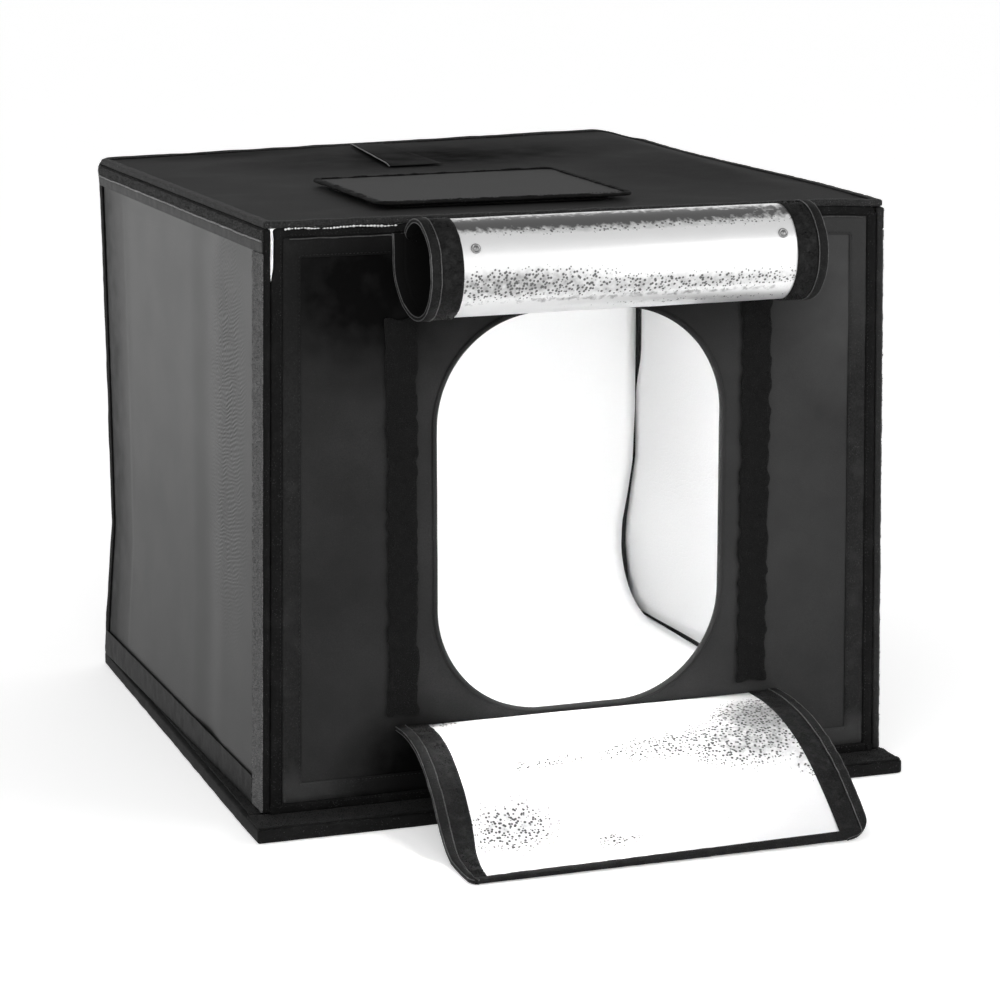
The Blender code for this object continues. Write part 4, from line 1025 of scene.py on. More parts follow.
def piping(start, end, seed, radius=PIPING_RADIUS):
    """A thin cord between two places that wanders a little."""
    start, end = np.array(start), np.array(end)
    length = float(np.linalg.norm(end - start))
    direction, up = (end - start) / length, np.array((0.0, 0.0, 1.0))
    side = np.cross(direction, up)
    shares = np.linspace(0.0, 1.0, PIPING_STEPS)
    wander = line_noise(shares * length, PIPING_WAVES, seed) * PIPING_WANDER
    spots = mix(start, end, shares[:, None]) + up * wander[:, None]
    rows = [spots + radius * (math.cos(turn) * side + math.sin(turn) * up) for turn in CORD_TURNS]
    return sweep(rows, 2)


def top_tape_parts(node, facing):
    """The tape under the top's edge: hairy above, plain below, with a piping between whose pale grey is
    painted highlight.
    """
    across, up, (low, high) = spans(node, facing)
    middle, seed = sum(up) / 2, seed_of(node)
    upper, lower = (rounded_loop((*across, *level), [TAPE_CORNER] * 4, TAPE_PITCH)
                    for level in ((middle, up[1]), (up[0], middle)))
    band = plate(facing, [lower], low, high - BAND_SUNK, TAPE_PITCH, FINE_RIM,
                 noise_relief(PUCKERS, seed, BAND_PUCKER), 1)
    ends = [(across[0] + PIPING_INSET, middle), (across[1] - PIPING_INSET, middle)]
    return [*fuzzy_tape(facing, upper, low, high, seed), band,
            piping(*place(ends, high - PIPING_SUNK, facing), seed)]


def build_walls():
    bound_board("left", "left", (HARD, HARD, HARD, SOFT), COVER_SIDE, EDGE, left_relief)
    bound_board("right", "right", (HARD, HARD, SOFT, HARD), COVER_SIDE,
                relief=noise_relief(BOARD_WAVES, 11, WALL_RISE))
    bound_board("back", "back", (HARD, HARD, SOFT, SOFT), COVER_FRONT,
                relief=noise_relief(BOARD_WAVES, 17, WALL_RISE))
    for name in ("left", "right"):
        tape, hem = name + "_top_tape", name + "_bottom_hem"
        add_piece(tape, top_tape_parts(tape, name), [SIDE_TAPE, BAND, SEAM_PIPING_HIGHLIGHT], name)
        add_tape(name + "_front_tape", name, name, CORNER_TAPE_PAINTED_LIGHT)
        loop, (low, high) = flat_loop(hem, name, [TAPE_CORNER] * 4, TAPE_PITCH)
        band = plate(name, [loop], low, high, TAPE_PITCH, FINE_RIM,
                     noise_relief(PUCKERS, seed_of(name), HEM_PUCKER))
        add_piece(hem, [band], [HEM], name)


WALL_RISE = 0.6 * MM
TOP_RISE = 0.4 * MM
RING_LAP = 2 * MM
OPENING_PITCH = 4 * MM
SMALL_CORNER = 1 * MM
HOLE_CORNER = 20.0 * MM
HOLE_RING = 2.5 * MM
SLIT_BOUNDS = (-0.023, -0.013, 0.0957, 0.2657)


def node_loop(node, facing, ring, corner, grow, pitch=OPENING_PITCH):
    """The edge of the opening inside a ring-shaped CAD node, grown by a distance."""
    across, up, out = spans(node, facing)
    return rounded_loop(grown((*across, *up), grow - ring), [corner + grow] * 4, pitch)


def hole_loop(grow):
    return node_loop("shooting_hole_binding", "up", HOLE_RING, HOLE_CORNER, grow)


def slit_loop():
    return rounded_loop(SLIT_BOUNDS, SQUARE, OPENING_PITCH)


def build_top():
    holes = [as_hole(hole_loop(HOLE_RING)), as_hole(slit_loop())]
    bound_board("top", "up", (HARD, HARD, SOFT, SOFT), COVER_TOP, SIDE_TAPE,
                noise_relief(BOARD_WAVES, 23, TOP_RISE), holes)
    low, high = spans("shooting_hole_binding", "up")[2]
    ring = edging("up", as_hole(hole_loop(0.0)), HOLE_RING + RING_LAP, low, high, 31)
    add_piece("shooting_hole_binding", [ring], [BINDING], "top")
    add_tape("shooting_hole_tape", "up", "top", corner=SMALL_CORNER)
    add_tape("top_flap_tape", "down", "top_flap", corner=SMALL_CORNER)


TOP_FLAP_CORNER = 12.0 * MM
TOP_FLAP_HEM = 6.0 * MM
TOP_FLAP_PITCH = 5 * MM
TOP_FLAP_PUFF = 0.8 * MM
TOP_FLAP_STITCH_LIFT = 1.1 * MM
TOP_FLAP_SKINS = (0.7 * MM, 0.2 * MM)
TOP_FLAP_RISE = 0.25 * MM
CABLE_FLAP_SKEW = 11.0 * MM
CABLE_FLAP_PITCH = 4.0 * MM
CABLE_FLAP_COLUMNS = 12
CABLE_FLAP_WAVES = 40 * MM
CABLE_FLAP_WAVE_RISE = 0.2 * MM
CABLE_FLAP_END = 15 * MM
CABLE_FLAP_REST = 0.06


def cable_flap_parts():
    """The slit's cover: flat on its right, with its left edge lifted in a piping whose pale grey is painted
    highlight.
    """
    (left, right), (front, rear), (low, high) = spans("cable_flap_sheet", "up")
    share, along = np.meshgrid(np.linspace(0.0, 1.0, CABLE_FLAP_COLUMNS),
                               np.arange(front, rear, CABLE_FLAP_PITCH), indexing="ij")
    skew = CABLE_FLAP_SKEW * (2.0 * (along - front) / (rear - front) - 1.0) * (1.0 - share)
    across = mix(left, right, share) + skew
    wave = grid_noise(across, along, CABLE_FLAP_WAVES, 53) * CABLE_FLAP_WAVE_RISE
    ends = smooth_step(along, front, front + CABLE_FLAP_END)
    raised = CABLE_FLAP_REST + (1.0 - 2.0 * CABLE_FLAP_REST) * (1.0 - share) ** 3
    lift = low + (high - low) * (CABLE_FLAP_REST + ends * raised) + wave * ends
    top = np.stack((across, along, lift), axis=-1)
    under = np.stack((across, along, np.full(across.shape, low)), axis=-1)
    rows = [top[0] + CORD_RADIUS * np.array((math.cos(turn), 0.0, math.sin(turn))) for turn in CORD_TURNS]
    return [grid_solid(top, under), sweep(rows, 1)]


def build_top_flaps():
    corners = [TOP_FLAP_CORNER] * 4
    loop, (low, high) = flat_loop("top_flap_hem", "up", corners, EDGING_PITCH)
    edge = edging("up", loop, TOP_FLAP_HEM, low, high + TOP_FLAP_PUFF, 43, TOP_FLAP_PUFF, TOP_FLAP_PUFF)
    stitch = stitches("up", loop, BINDING_WIDTH - STITCH_INSET, high + TOP_FLAP_STITCH_LIFT)
    # The hem is black binding cloth; the darkest one is taken so that its edge reads as a black line,
    # partly painted shade under the flap's edges
    hem = add_piece("top_flap_hem", [edge, stitch], [EDGE, THREAD], "top_flap")
    outline = flat_loop("top_flap_hem", "up", corners, TOP_FLAP_PITCH, BOARD_LAP)[0]
    field = plate("up", [outline], low + TOP_FLAP_SKINS[0], high - TOP_FLAP_SKINS[1], TOP_FLAP_PITCH,
                  relief=noise_relief(BOARD_WAVES, 47, TOP_FLAP_RISE))
    sheet = add_piece("top_flap_sheet", [field], [COVER_FLAP], "top_flap")
    cover = add_piece("cable_flap_sheet", cable_flap_parts(), [COVER_TOP, SEAM_PIPING_HIGHLIGHT], "cable_flap")


WINDOW_RING = 2.5 * MM
WINDOW_CORNER = 0.100


def window_loop(grow, pitch=OPENING_PITCH):
    return node_loop("window_binding", "front", WINDOW_RING, WINDOW_CORNER, grow, pitch)


FOOT_REACH = 1.7 * MM
FOOT_LEVELS = (0.016, 0.020)
SIDE_SPAN = (0.283, 0.290)
SIDE_HEAD = (0.528, 0.534)
LEFT_REACHES = (2.6 * MM, -0.6 * MM)
GAPE_LEVELS = (0.485, 0.505)
RIGHT_REACH = 2.2 * MM


def front_reach(points):
    """The front panel's edge meets the walls and the base, but gapes at its top left corner."""
    x, y, z = points.T
    side = smooth_step(np.abs(x), *SIDE_SPAN) * (1 - smooth_step(z, *SIDE_HEAD))
    left = mix(*LEFT_REACHES, smooth_step(z, *GAPE_LEVELS))
    foot = FOOT_REACH * (1.0 - smooth_step(z, *FOOT_LEVELS))
    return foot + side * np.where(x < 0, left, RIGHT_REACH)


HEM_WIDTH = 17.5 * MM
HEM_CORD_RADIUS = 0.7 * MM
HEM_PITCH = 4 * MM
HEM_SKINS = (0.5 * MM, 0.3 * MM)
HEM_RISE = 0.35 * MM
HEM_STITCH_SUNK = 0.1 * MM
HEM_CORD_INSETS = (6 * MM, 4 * MM, 1 * MM)
WINDOW_CLOTH = 0.6 * MM
WINDOW_WOBBLE = 0.1 * MM
FRONT_SUNK = 0.6 * MM
FRONT_FRAY = 1.4 * MM


def build_front():
    facing = "front"
    hole, relief = as_hole(window_loop(WINDOW_RING)), noise_relief(FRONT_WAVES, 61, WALL_RISE)
    low, high = bound_board(facing, facing, SQUARE, COVER_FRONT, EDGE, relief, [hole], 67, front_reach,
                            FRONT_SUNK)
    outer, inner = (flat_loop("front_hem", facing, SQUARE, HEM_PITCH, inset)[0]
                    for inset in (0.0, HEM_WIDTH))
    ring = plate(facing, [outer, as_hole(inner)], high - CLOTH - HEM_SKINS[0], high - HEM_SKINS[1],
                 HEM_PITCH, FINE_RIM, noise_relief(PUCKERS, 71, HEM_RISE))
    stitch = stitches(facing, inner, -STITCH_INSET, high - HEM_STITCH_SUNK)
    (left, right), (foot, head), out = spans("front_hem", facing)
    from_left, from_right, from_head = HEM_CORD_INSETS
    level = head - from_head
    ends = place([(left + from_left, level), (right - from_right, level)], high, facing)
    cord = piping(*ends, 71, HEM_CORD_RADIUS)
    add_piece("front_hem", [ring, stitch, cord], [HEM, THREAD, HEM_PIPING], facing)
    edge = as_hole(window_loop(0.0, EDGING_PITCH))
    ring = edging(facing, edge, WINDOW_RING + RING_LAP, low, high - CLOTH, 73, WINDOW_CLOTH, WINDOW_WOBBLE)
    add_piece("window_binding", [ring], [COVER_FRONT], facing)
    for node in ("front_tape_left", "front_tape_right"):
        add_tape(node, facing, facing, fray=FRONT_FRAY)


GLINT_SPAN = (-0.2805, -0.172)
GLINT_PITCH = 3.2 * MM
GLINT_FRONT = -0.3008
GLINT_MIDDLE = WALL_HEAD - 0.5 * MM
GLINT_SWAY = 0.5 * MM
GLINT_SWAY_RUN = 0.009
GLINT_SCATTER = 0.15 * MM
GLINT_CLUMPS = 12 * MM
GLINT_GAPS = -0.55
GLINT_LENGTHS = (2.6 * MM, 6.0 * MM)
GLINT_HEIGHTS = (1.0 * MM, 2.6 * MM)
GLINT_DEPTH = 0.8 * MM


def build_glints():
    """Pale beads of lining colour along the seam above the front, where it gapes: painted light, in place
    of the light from inside that leaks through there.
    """
    random = np.random.default_rng(83)
    across = np.arange(*GLINT_SPAN, GLINT_PITCH)
    across = across[rough_noise(np.stack((across, across), axis=1), GLINT_CLUMPS, 29) > GLINT_GAPS]
    count = len(across)
    heights = GLINT_MIDDLE + GLINT_SWAY * np.sin(across / GLINT_SWAY_RUN)
    heights = heights + random.normal(0.0, GLINT_SCATTER, count)
    places = np.stack((across, np.full(count, GLINT_FRONT), heights), axis=1)
    normals, directions = np.tile(out_of("front"), (count, 1)), np.tile((1.0, 0.0, 0.0), (count, 1))
    length = random.uniform(*GLINT_LENGTHS, (count, 1))
    height = random.uniform(*GLINT_HEIGHTS, (count, 1))
    beads = bead_row(places, directions, normals, length, height, GLINT_DEPTH)
    add_piece("seam_specks", [beads], [LINING], "front")


LINING_SKIN = 0.6 * MM
LINING_SHORT_REAR = 15.0 * MM
LINING_SHORT_FOOT = 3.0 * MM
LINING_SHORT_BACK = 16.0 * MM
LINING_PITCH = 12 * MM
LINING_EDGE_PITCH = 10 * MM
LINING_RIM = 0.2 * MM
REAR_TRIM_SPAN = (0.26, 0.29)
REAR_TRIM_LEVELS = (0.25, 0.31)
FOOT_TRIM_LEVELS = (0.016, 0.030)
BACK_TRIM_SPAN = (0.20, 0.288)
BACK_TRIM_LEVELS = (0.15, 0.20)
BULGE_SPAN = (0.12, 0.26)
BULGE_LEVELS = (0.014, 0.056, 0.090, 0.112, 0.146, 0.185)
BULGES = (0.003, 0.008, 0.011, 0.010, 0.0055, 0.0)


def trim(name, flat):
    """The outline of a lining, cut short near the backdrop's edge so that the dark cloth behind shows as a
    line of painted shade.
    """
    across, up = flat.T
    if name == "right":
        across = across + (LINING_SHORT_REAR * smooth_step(-across, *REAR_TRIM_SPAN)
                           * smooth_step(up, *REAR_TRIM_LEVELS))
        up = up + LINING_SHORT_FOOT * (1.0 - smooth_step(up, *FOOT_TRIM_LEVELS))
    if name == "back":
        low = 1.0 - smooth_step(up, *BACK_TRIM_LEVELS)
        across = across - LINING_SHORT_BACK * smooth_step(across, *BACK_TRIM_SPAN) * low
    return np.stack((across, up), axis=1)


def bulge(points):
    """The right lining hangs away from its wall low at the rear."""
    x, y, z = points.T
    away = np.interp(z, BULGE_LEVELS, BULGES) * smooth_step(y, *BULGE_SPAN)
    return settle(np.stack((x - away, y, z), axis=1))


def lining_holes(name):
    """The openings of a lining, mirrored, as it faces inwards."""
    loops, flip = (), (1.0, 1.0)
    if name == "top":
        loops, flip = (hole_loop(HOLE_RING), slit_loop()), (1.0, -1.0)
    if name == "front":
        loops, flip = (window_loop(WINDOW_RING),), (-1.0, 1.0)
    return [(points * flip, -outward * flip) for points, outward in loops]


def build_linings():
    """The bright cloth on the inner faces, a thin sheet on each board."""
    plans = (("base", "up", SQUARE, settle_base), ("back", "front", SQUARE, settle),
             ("left", "right", (HARD, HARD, SOFT, HARD), settle),
             ("right", "left", (HARD, HARD, HARD, SOFT), bulge),
             ("top", "down", (SOFT, SOFT, HARD, HARD), settle), ("front", "back", SQUARE, settle))
    for name, facing, radii, shift in plans:
        node = name + "_lining"
        (edge, outward), (low, high) = flat_loop(node, facing, radii, LINING_EDGE_PITCH)
        loops = [(trim(name, edge), outward), *lining_holes(name)]
        skin = plate(facing, loops, low, low + LINING_SKIN, LINING_PITCH, LINING_RIM)
        piece = add_piece(node, [skin], [LINING], name, shift)


BASE_CORNERS = (2.0 * MM, 5.0 * MM, 6.0 * MM, 6.0 * MM)
BASE_PITCHES = (8 * MM, 12 * MM)


def build_base():
    bound_board("base", "up", BASE_CORNERS, COVER_TOP, LEDGE, seed=79, panel="_board",
                pitches=BASE_PITCHES, shift=settle_base)
    for node in ("base_front_tape", "base_tape_left", "base_tape_right"):
        add_tape(node, "up", "base", corner=HARD, shift=settle_base)


# The two window flaps

FLAP_LEFT = -0.178
FLAP_RIGHT = 0.198
FLAP_BINDING = 9.0 * MM
FLAP_TAPE = 20.5 * MM
FLAP_CORNER = 12.0 * MM
FLAP_OUTSIDE = 2.95 * MM
FLAP_INSIDE = -1.45 * MM
FOIL_LEVEL = 1.15 * MM
ROLL_RADIUS = 42.8 * MM
ROLL_CENTRE = (-0.34605, 0.5055)
ROLL_START = (-0.30325, 0.5307)
ROLL_START_TURN = math.radians(-10.0)
ROLL_SWEEP = math.radians(320.0)
ROLL_TIGHTENING = 4.0 * MM
ROLL_TIGHTEN_FROM = 0.60
ROLL_STEPS = 176
LOWER_ROOT = (-0.3003, 0.0815)
LOWER_REACH = 0.2065
LOWER_HEEL = 1.75 * MM
LOWER_STEPS = 60
SLOPE_SHARE = 0.02
ROLL_LEAN = 6.0 * MM
LEAN_SPAN = (0.02, 0.11)
LOWER_CURL = 13.0 * MM
LOWER_CORNERS = (12.0 * MM, 24.0 * MM)
CURL_ACROSS = (0.0, 0.0295, 0.070, 0.160)
CURL_SHARES = (0.0, 1.0, 0.9, 0.0)
CURL_SPAN = (0.55, 1.0)

# The lower flap's two edges from its seam to its free end: how far out and how high each point is
LOWER_LEFT_SHARES = ((0.0, 1.0), (0.15, 1.0), (0.31, 0.90), (0.47, 0.62), (0.58, 0.31),
                     (0.70, 0.06), (0.84, 0.0), (1.0, 0.0))
LOWER_RIGHT_SHARES = ((0.0, 1.0), (0.16, 1.0), (0.33, 0.95), (0.51, 0.83), (0.66, 0.66),
                      (0.79, 0.45), (0.90, 0.23), (0.97, 0.07), (1.0, 0.0))


def path_at(path, shares):
    return point_at(path, np.clip(shares, 0.0, 1.0) * path_run(path)[-1])


def path_beside(path, shares, distance):
    """Points beside a path, on its left where the distance is positive."""
    here = path_at(path, shares)
    slope = path_at(path, shares + SLOPE_SHARE) - path_at(path, shares - SLOPE_SHARE)
    slope /= np.maximum(np.hypot(slope[..., 0], slope[..., 1]), TINY)[..., None]
    aside = np.stack((-slope[..., 1], slope[..., 0]), axis=-1)
    return here + aside * np.asarray(distance)[..., None]


def smooth_path(points, steps):
    """A smooth path through chosen points, in even steps."""
    ends = np.array([points[0], *points, points[-1]])
    fine = []
    for p0, p1, p2, p3 in zip(ends, ends[1:], ends[2:], ends[3:]):
        for t in np.arange(steps) / steps:
            fine.append(0.5 * (2 * p1 + (p2 - p0) * t + (2 * p0 - 5 * p1 + 4 * p2 - p3) * t ** 2
                               + (3 * p1 - p0 - 3 * p2 + p3) * t ** 3))
    fine = np.array(fine + [np.array(points[-1])])
    return path_at(fine, np.linspace(0.0, 1.0, steps + 1))


class Flap:
    """A window flap between two edge paths, its foil on one side."""

    def __init__(self, left_path, right_path, outward, lean=0.0, curl=0.0, corners=(FLAP_CORNER,) * 2):
        self.paths = (np.array(left_path), np.array(right_path))
        self.outward = outward
        self.lean = lean
        self.curl = curl
        self.corners = corners
        self.width = FLAP_RIGHT - FLAP_LEFT
        self.length = float(path_run(self.paths[0])[-1])

    def points(self, across, along, offset):
        """Points at distances across, along and outside the flap."""
        across, along, offset = np.broadcast_arrays(across, along, offset)
        sides = [path_beside(path, along / self.length, offset * self.outward) for path in self.paths]
        share = (across / self.width)[..., None]
        side = mix(sides[0], sides[1], share)
        lean = self.lean * smooth_step(along, *LEAN_SPAN) * (1.0 - across / self.width)
        curl = np.interp(across, CURL_ACROSS, CURL_SHARES) * smooth_step(along / self.length, *CURL_SPAN)
        lean = lean - self.curl * curl
        return np.concatenate(((FLAP_LEFT + across + lean)[..., None], side), axis=-1)

    def normals(self, across, along):
        out = self.points(across, along, MM) - self.points(across, along, 0.0)
        return out / np.linalg.norm(out, axis=-1)[..., None]


def roll_path():
    path = [ROLL_START]
    for share in np.linspace(0.0, 1.0, ROLL_STEPS + 1):
        turn = ROLL_START_TURN - ROLL_SWEEP * share
        tight = max(share - ROLL_TIGHTEN_FROM, 0.0) / (1.0 - ROLL_TIGHTEN_FROM)
        radius = ROLL_RADIUS - ROLL_TIGHTENING * tight
        path.append((ROLL_CENTRE[0] + radius * math.cos(turn), ROLL_CENTRE[1] + radius * math.sin(turn)))
    return path


def lower_path(shares):
    drop = LOWER_ROOT[1] - LOWER_HEEL
    points = [(LOWER_ROOT[0] - LOWER_REACH * out, LOWER_HEEL + drop * up) for out, up in shares]
    return smooth_path(points, LOWER_STEPS)


def grid_solid(top, bottom):
    """A closed solid between two grids of points."""
    rows, columns = top.shape[:2]
    count = rows * columns
    index = np.arange(count).reshape(rows, columns)
    quads = np.stack((index[:-1, :-1], index[1:, :-1], index[1:, 1:], index[:-1, 1:]), axis=-1)
    quads = quads.reshape(-1, 4)
    faces = quads.tolist() + (quads[:, ::-1] + count).tolist()
    border = np.concatenate((index[0, :-1], index[:-1, -1], index[-1, :0:-1], index[:0:-1, 0]))
    following = np.roll(border, -1)
    faces += np.stack((border, following, following + count, border + count), axis=1).tolist()
    return chunk(np.concatenate((top.reshape(-1, 3), bottom.reshape(-1, 3))), faces)


def oriented(part, outward):
    """Turn the faces round where the flap's outside is on the other side."""
    points, faces, marks = part
    return part if outward > 0 else (points, [face[::-1] for face in faces], marks)


PEBBLE_PITCH = 4.4 * MM
PEBBLE_RISE = 0.05 * MM
PEBBLE_BEND = 0.35
FOIL_GRID = 1.5 * MM
FOIL_WAVES = 38 * MM
FOIL_WAVE_RISE = 0.15 * MM
FOIL_UNDER = 0.15 * MM
BACKING_PITCH = 5 * MM
BACKING_SUNK = 0.3 * MM
WRINKLE_PITCH = 6 * MM
WRINKLE_RISE = 0.40 * MM
WRINKLE_STRETCH = 0.6
TAPE_UNDER = 1.3 * MM
SHEET_EDGE = FLAP_BINDING - 2 * MM
FLAP_PITCH = 2.5 * MM
TAPE_TOP = FLAP_OUTSIDE - 0.6 * MM


def flap_grid(start, end, length, pitch):
    """A grid of distances across a flap, and along it from its seam."""
    across = np.linspace(start, end, max(round((end - start) / pitch), 1) + 1)
    along = np.linspace(0.0, length, max(round(length / pitch), 1) + 1)
    return np.meshgrid(across, along, indexing="ij")


def sheet_grid(flap, pitch):
    return flap_grid(SHEET_EDGE, flap.width - SHEET_EDGE, flap.length - SHEET_EDGE, pitch)


def flap_layer(flap, across, along, low, high):
    """A solid between two levels of a flap."""
    return oriented(grid_solid(flap.points(across, along, high), flap.points(across, along, low)),
                    flap.outward)


def foil_sheet(flap, seed):
    """The silver side of a flap, pressed with pebbles."""
    across, along = sheet_grid(flap, FOIL_GRID)
    flat = np.stack((across.ravel(), along.ravel()), axis=1)
    pebbles = smooth_step(cell_gaps(flat, PEBBLE_PITCH, seed), 0.0, PEBBLE_BEND).reshape(across.shape)
    waves = grid_noise(across, along, FOIL_WAVES, seed)
    rise = FOIL_LEVEL + PEBBLE_RISE * (pebbles - 1.0) + FOIL_WAVE_RISE * waves
    return flap_layer(flap, across, along, FOIL_UNDER, rise)


def flap_tape(flap, start, seed):
    """The tape along a flap's side, wrinkled where the flap bends."""
    end, length = start + FLAP_TAPE, flap.length - FLAP_BINDING
    across, along = flap_grid(start, end, length, FLAP_PITCH)
    wrinkles = grid_noise(across * WRINKLE_STRETCH, along, WRINKLE_PITCH, seed)
    body = flap_layer(flap, across, along, TAPE_UNDER, TAPE_TOP + WRINKLE_RISE * wrinkles)
    random = np.random.default_rng(seed)
    count = int((end - start) * flap.length / TUFT_AREA)
    across = random.uniform(start, end, count)
    along = random.uniform(0.0, length, count)
    return [body, tufts(flap.points(across, along, TAPE_TOP), flap.normals(across, along), seed)]


CORD_WANDER = 0.25 * MM
FIRST_INNER = 6
FLAP_PUCKER = 0.35 * MM
FLAP_INNER_WAVES = 6 * MM
FLAP_INNER_WANDER = 0.4 * MM
FLAP_STITCH_LEVEL = FLAP_OUTSIDE + 0.15 * MM
FLAP_CROWN = 0.2 * MM
FLAP_LIP = 0.5 * MM
LOOK_AHEAD = 0.5 * MM
FLAP_STITCH_INSET = FLAP_BINDING - 2.2 * MM
END_STEPS = 140
END_INSET = FLAP_BINDING * 0.7
CORD_RADIUS = 0.55 * MM
CORD_GAP = 0.3 * MM
CORDS = ((CORD_GAP, FLAP_OUTSIDE - 0.7 * MM), (CORD_GAP, FLAP_INSIDE + 0.6 * MM),
         (FLAP_BINDING, FLAP_OUTSIDE))


def corner_inset(distance, radius):
    """How far a rounded corner keeps inside its edge, at a distance from the other edge."""
    rest = np.clip(radius - distance, 0.0, radius)
    return radius - np.sqrt(radius ** 2 - rest ** 2)


def flap_cord(flap, side, inset, along, height, seed):
    """The thin piped edge of a binding, which stands up and catches the light."""
    wave = line_noise(along, PUCKERS, seed) * CORD_WANDER
    across = (inset if side == 0 else flap.width - inset) + wave
    rows = [flap.points(across + CORD_RADIUS * math.cos(turn), along, height + CORD_RADIUS * math.sin(turn))
            for turn in CORD_TURNS]
    return oriented(sweep(rows, 2), flap.outward)


def flap_section():
    """A binding's section as insets and heights, and the material index of each of its sides."""
    low, high = FLAP_INSIDE, FLAP_OUTSIDE
    wide, bend = FLAP_BINDING, EDGE_ROUND
    crest = high + FLAP_CROWN
    section = [(wide, high - FLAP_LIP), (wide * 0.8, crest), (wide * 0.4, crest), (bend, high),
               (bend * 0.3, high - bend * 0.3), (0.0, high - bend), (0.0, low + bend),
               (bend * 0.3, low + bend * 0.3), (bend, low), (wide, low)]
    last = len(section) - 1
    return section, [3 if FIRST_INNER <= corner < last else 0 for corner in range(last + 1)]


def binding_strip(rows, outward):
    """A tube through the section's rows, whose inner sides have the back's cloth."""
    section, marks = flap_section()
    points, faces, unused = sweep(rows)
    runs = (len(faces) - 2) // len(section)
    return oriented((points, faces, marks * runs + [0, 0]), outward)


def flap_binding(flap, seed):
    """The binding round a flap's two sides and its free end, with its cords and stitches."""
    section = flap_section()[0]
    is_top = [height > FLAP_OUTSIDE / 2 for inset, height in section]
    along = np.linspace(0.0, flap.length, round(flap.length / FLAP_PITCH) + 1)
    insets = [corner_inset(flap.length - along, corner) for corner in flap.corners]
    parts = []
    for side, turn_in in enumerate(insets):
        wave = line_noise(along, PUCKERS, seed + side) * FLAP_PUCKER
        inner_wave = line_noise(along, FLAP_INNER_WAVES, seed + 5 + side) * FLAP_INNER_WANDER
        rows = []
        for (inset, height), raised in zip(section, is_top):
            depth = np.maximum(inset + inner_wave * (inset > FLAP_BINDING / 2), turn_in)
            across = depth if side == 0 else flap.width - depth
            rows.append(flap.points(across, along, height + wave * raised))
        parts.append(binding_strip(rows, flap.outward * (-1 if side else 1)))
    across = np.linspace(END_INSET, flap.width - END_INSET, END_STEPS)
    turn_in = np.maximum(corner_inset(across, flap.corners[0]),
                         corner_inset(flap.width - across, flap.corners[1]))
    wave = line_noise(across, PUCKERS, seed + 9) * FLAP_PUCKER
    rows = []
    for (inset, height), raised in zip(section, is_top):
        end = flap.length - np.maximum(inset, turn_in) + wave * 0.5
        rows.append(flap.points(across, end, height + wave * raised))
    parts.append(binding_strip(rows, flap.outward))
    for side, turn_in in enumerate(insets):
        parts += [flap_cord(flap, side, np.maximum(inset, turn_in + CORD_GAP), along, height, seed + side)
                  for inset, height in CORDS]
    spots = np.arange(STITCH_PITCH, flap.length - FLAP_CORNER, STITCH_PITCH)
    for across in (FLAP_STITCH_INSET, flap.width - FLAP_STITCH_INSET):
        here = flap.points(across, spots, FLAP_STITCH_LEVEL)
        ahead = flap.points(across, spots + LOOK_AHEAD, FLAP_STITCH_LEVEL) - here
        direction = ahead / np.linalg.norm(ahead, axis=1)[:, None]
        parts.append(bead_row(here, direction, flap.normals(across, spots), STITCH_LENGTH, STITCH_WIDTH,
                              STITCH_WIDTH, 1))
    return parts


def build_flap(name, flap):
    seed = seed_of(name)
    binding = add_piece(name + "_binding", flap_binding(flap, seed), [FLAP_EDGE, THREAD, PIPING, FLAP_BACK],
                        name, None)
    binding.data.set_sharp_from_angle(angle=SHARP_TURN)
    starts = {"_tape_left": FLAP_BINDING, "_tape_right": flap.width - FLAP_BINDING - FLAP_TAPE}
    tapes = [add_piece(name + side, flap_tape(flap, start, seed + len(side)), [FLAP_TAPE_CLOTH], name,
                       None) for side, start in starts.items()]
    foil = add_piece(name + "_foil", [foil_sheet(flap, seed)], [FOILS[name]], name, None)
    back = flap_layer(flap, *sheet_grid(flap, BACKING_PITCH), FLAP_INSIDE + BACKING_SUNK, 0.0)
    backing = add_piece(name + "_backing", [back], [FLAP_BACK], name, None)


SHARP_TURN = math.radians(50)
SNAP_INSET = FLAP_BINDING + FLAP_TAPE + 12 * MM
SNAP_TURN = math.radians(152.0)

# The radius and the height of each ring of a snap, in millimetres
SNAP_PROFILE = ((0.0, 1.5), (1.4, 1.45), (2.0, 1.2), (2.3, 0.7), (2.9, 0.7), (3.3, 1.15), (4.0, 1.0),
                (4.5, 0.45), (4.5, -0.3), (0.0, -0.3))
SNAP_TURNS = 28
SNAP_LIFT = 1.4 * MM


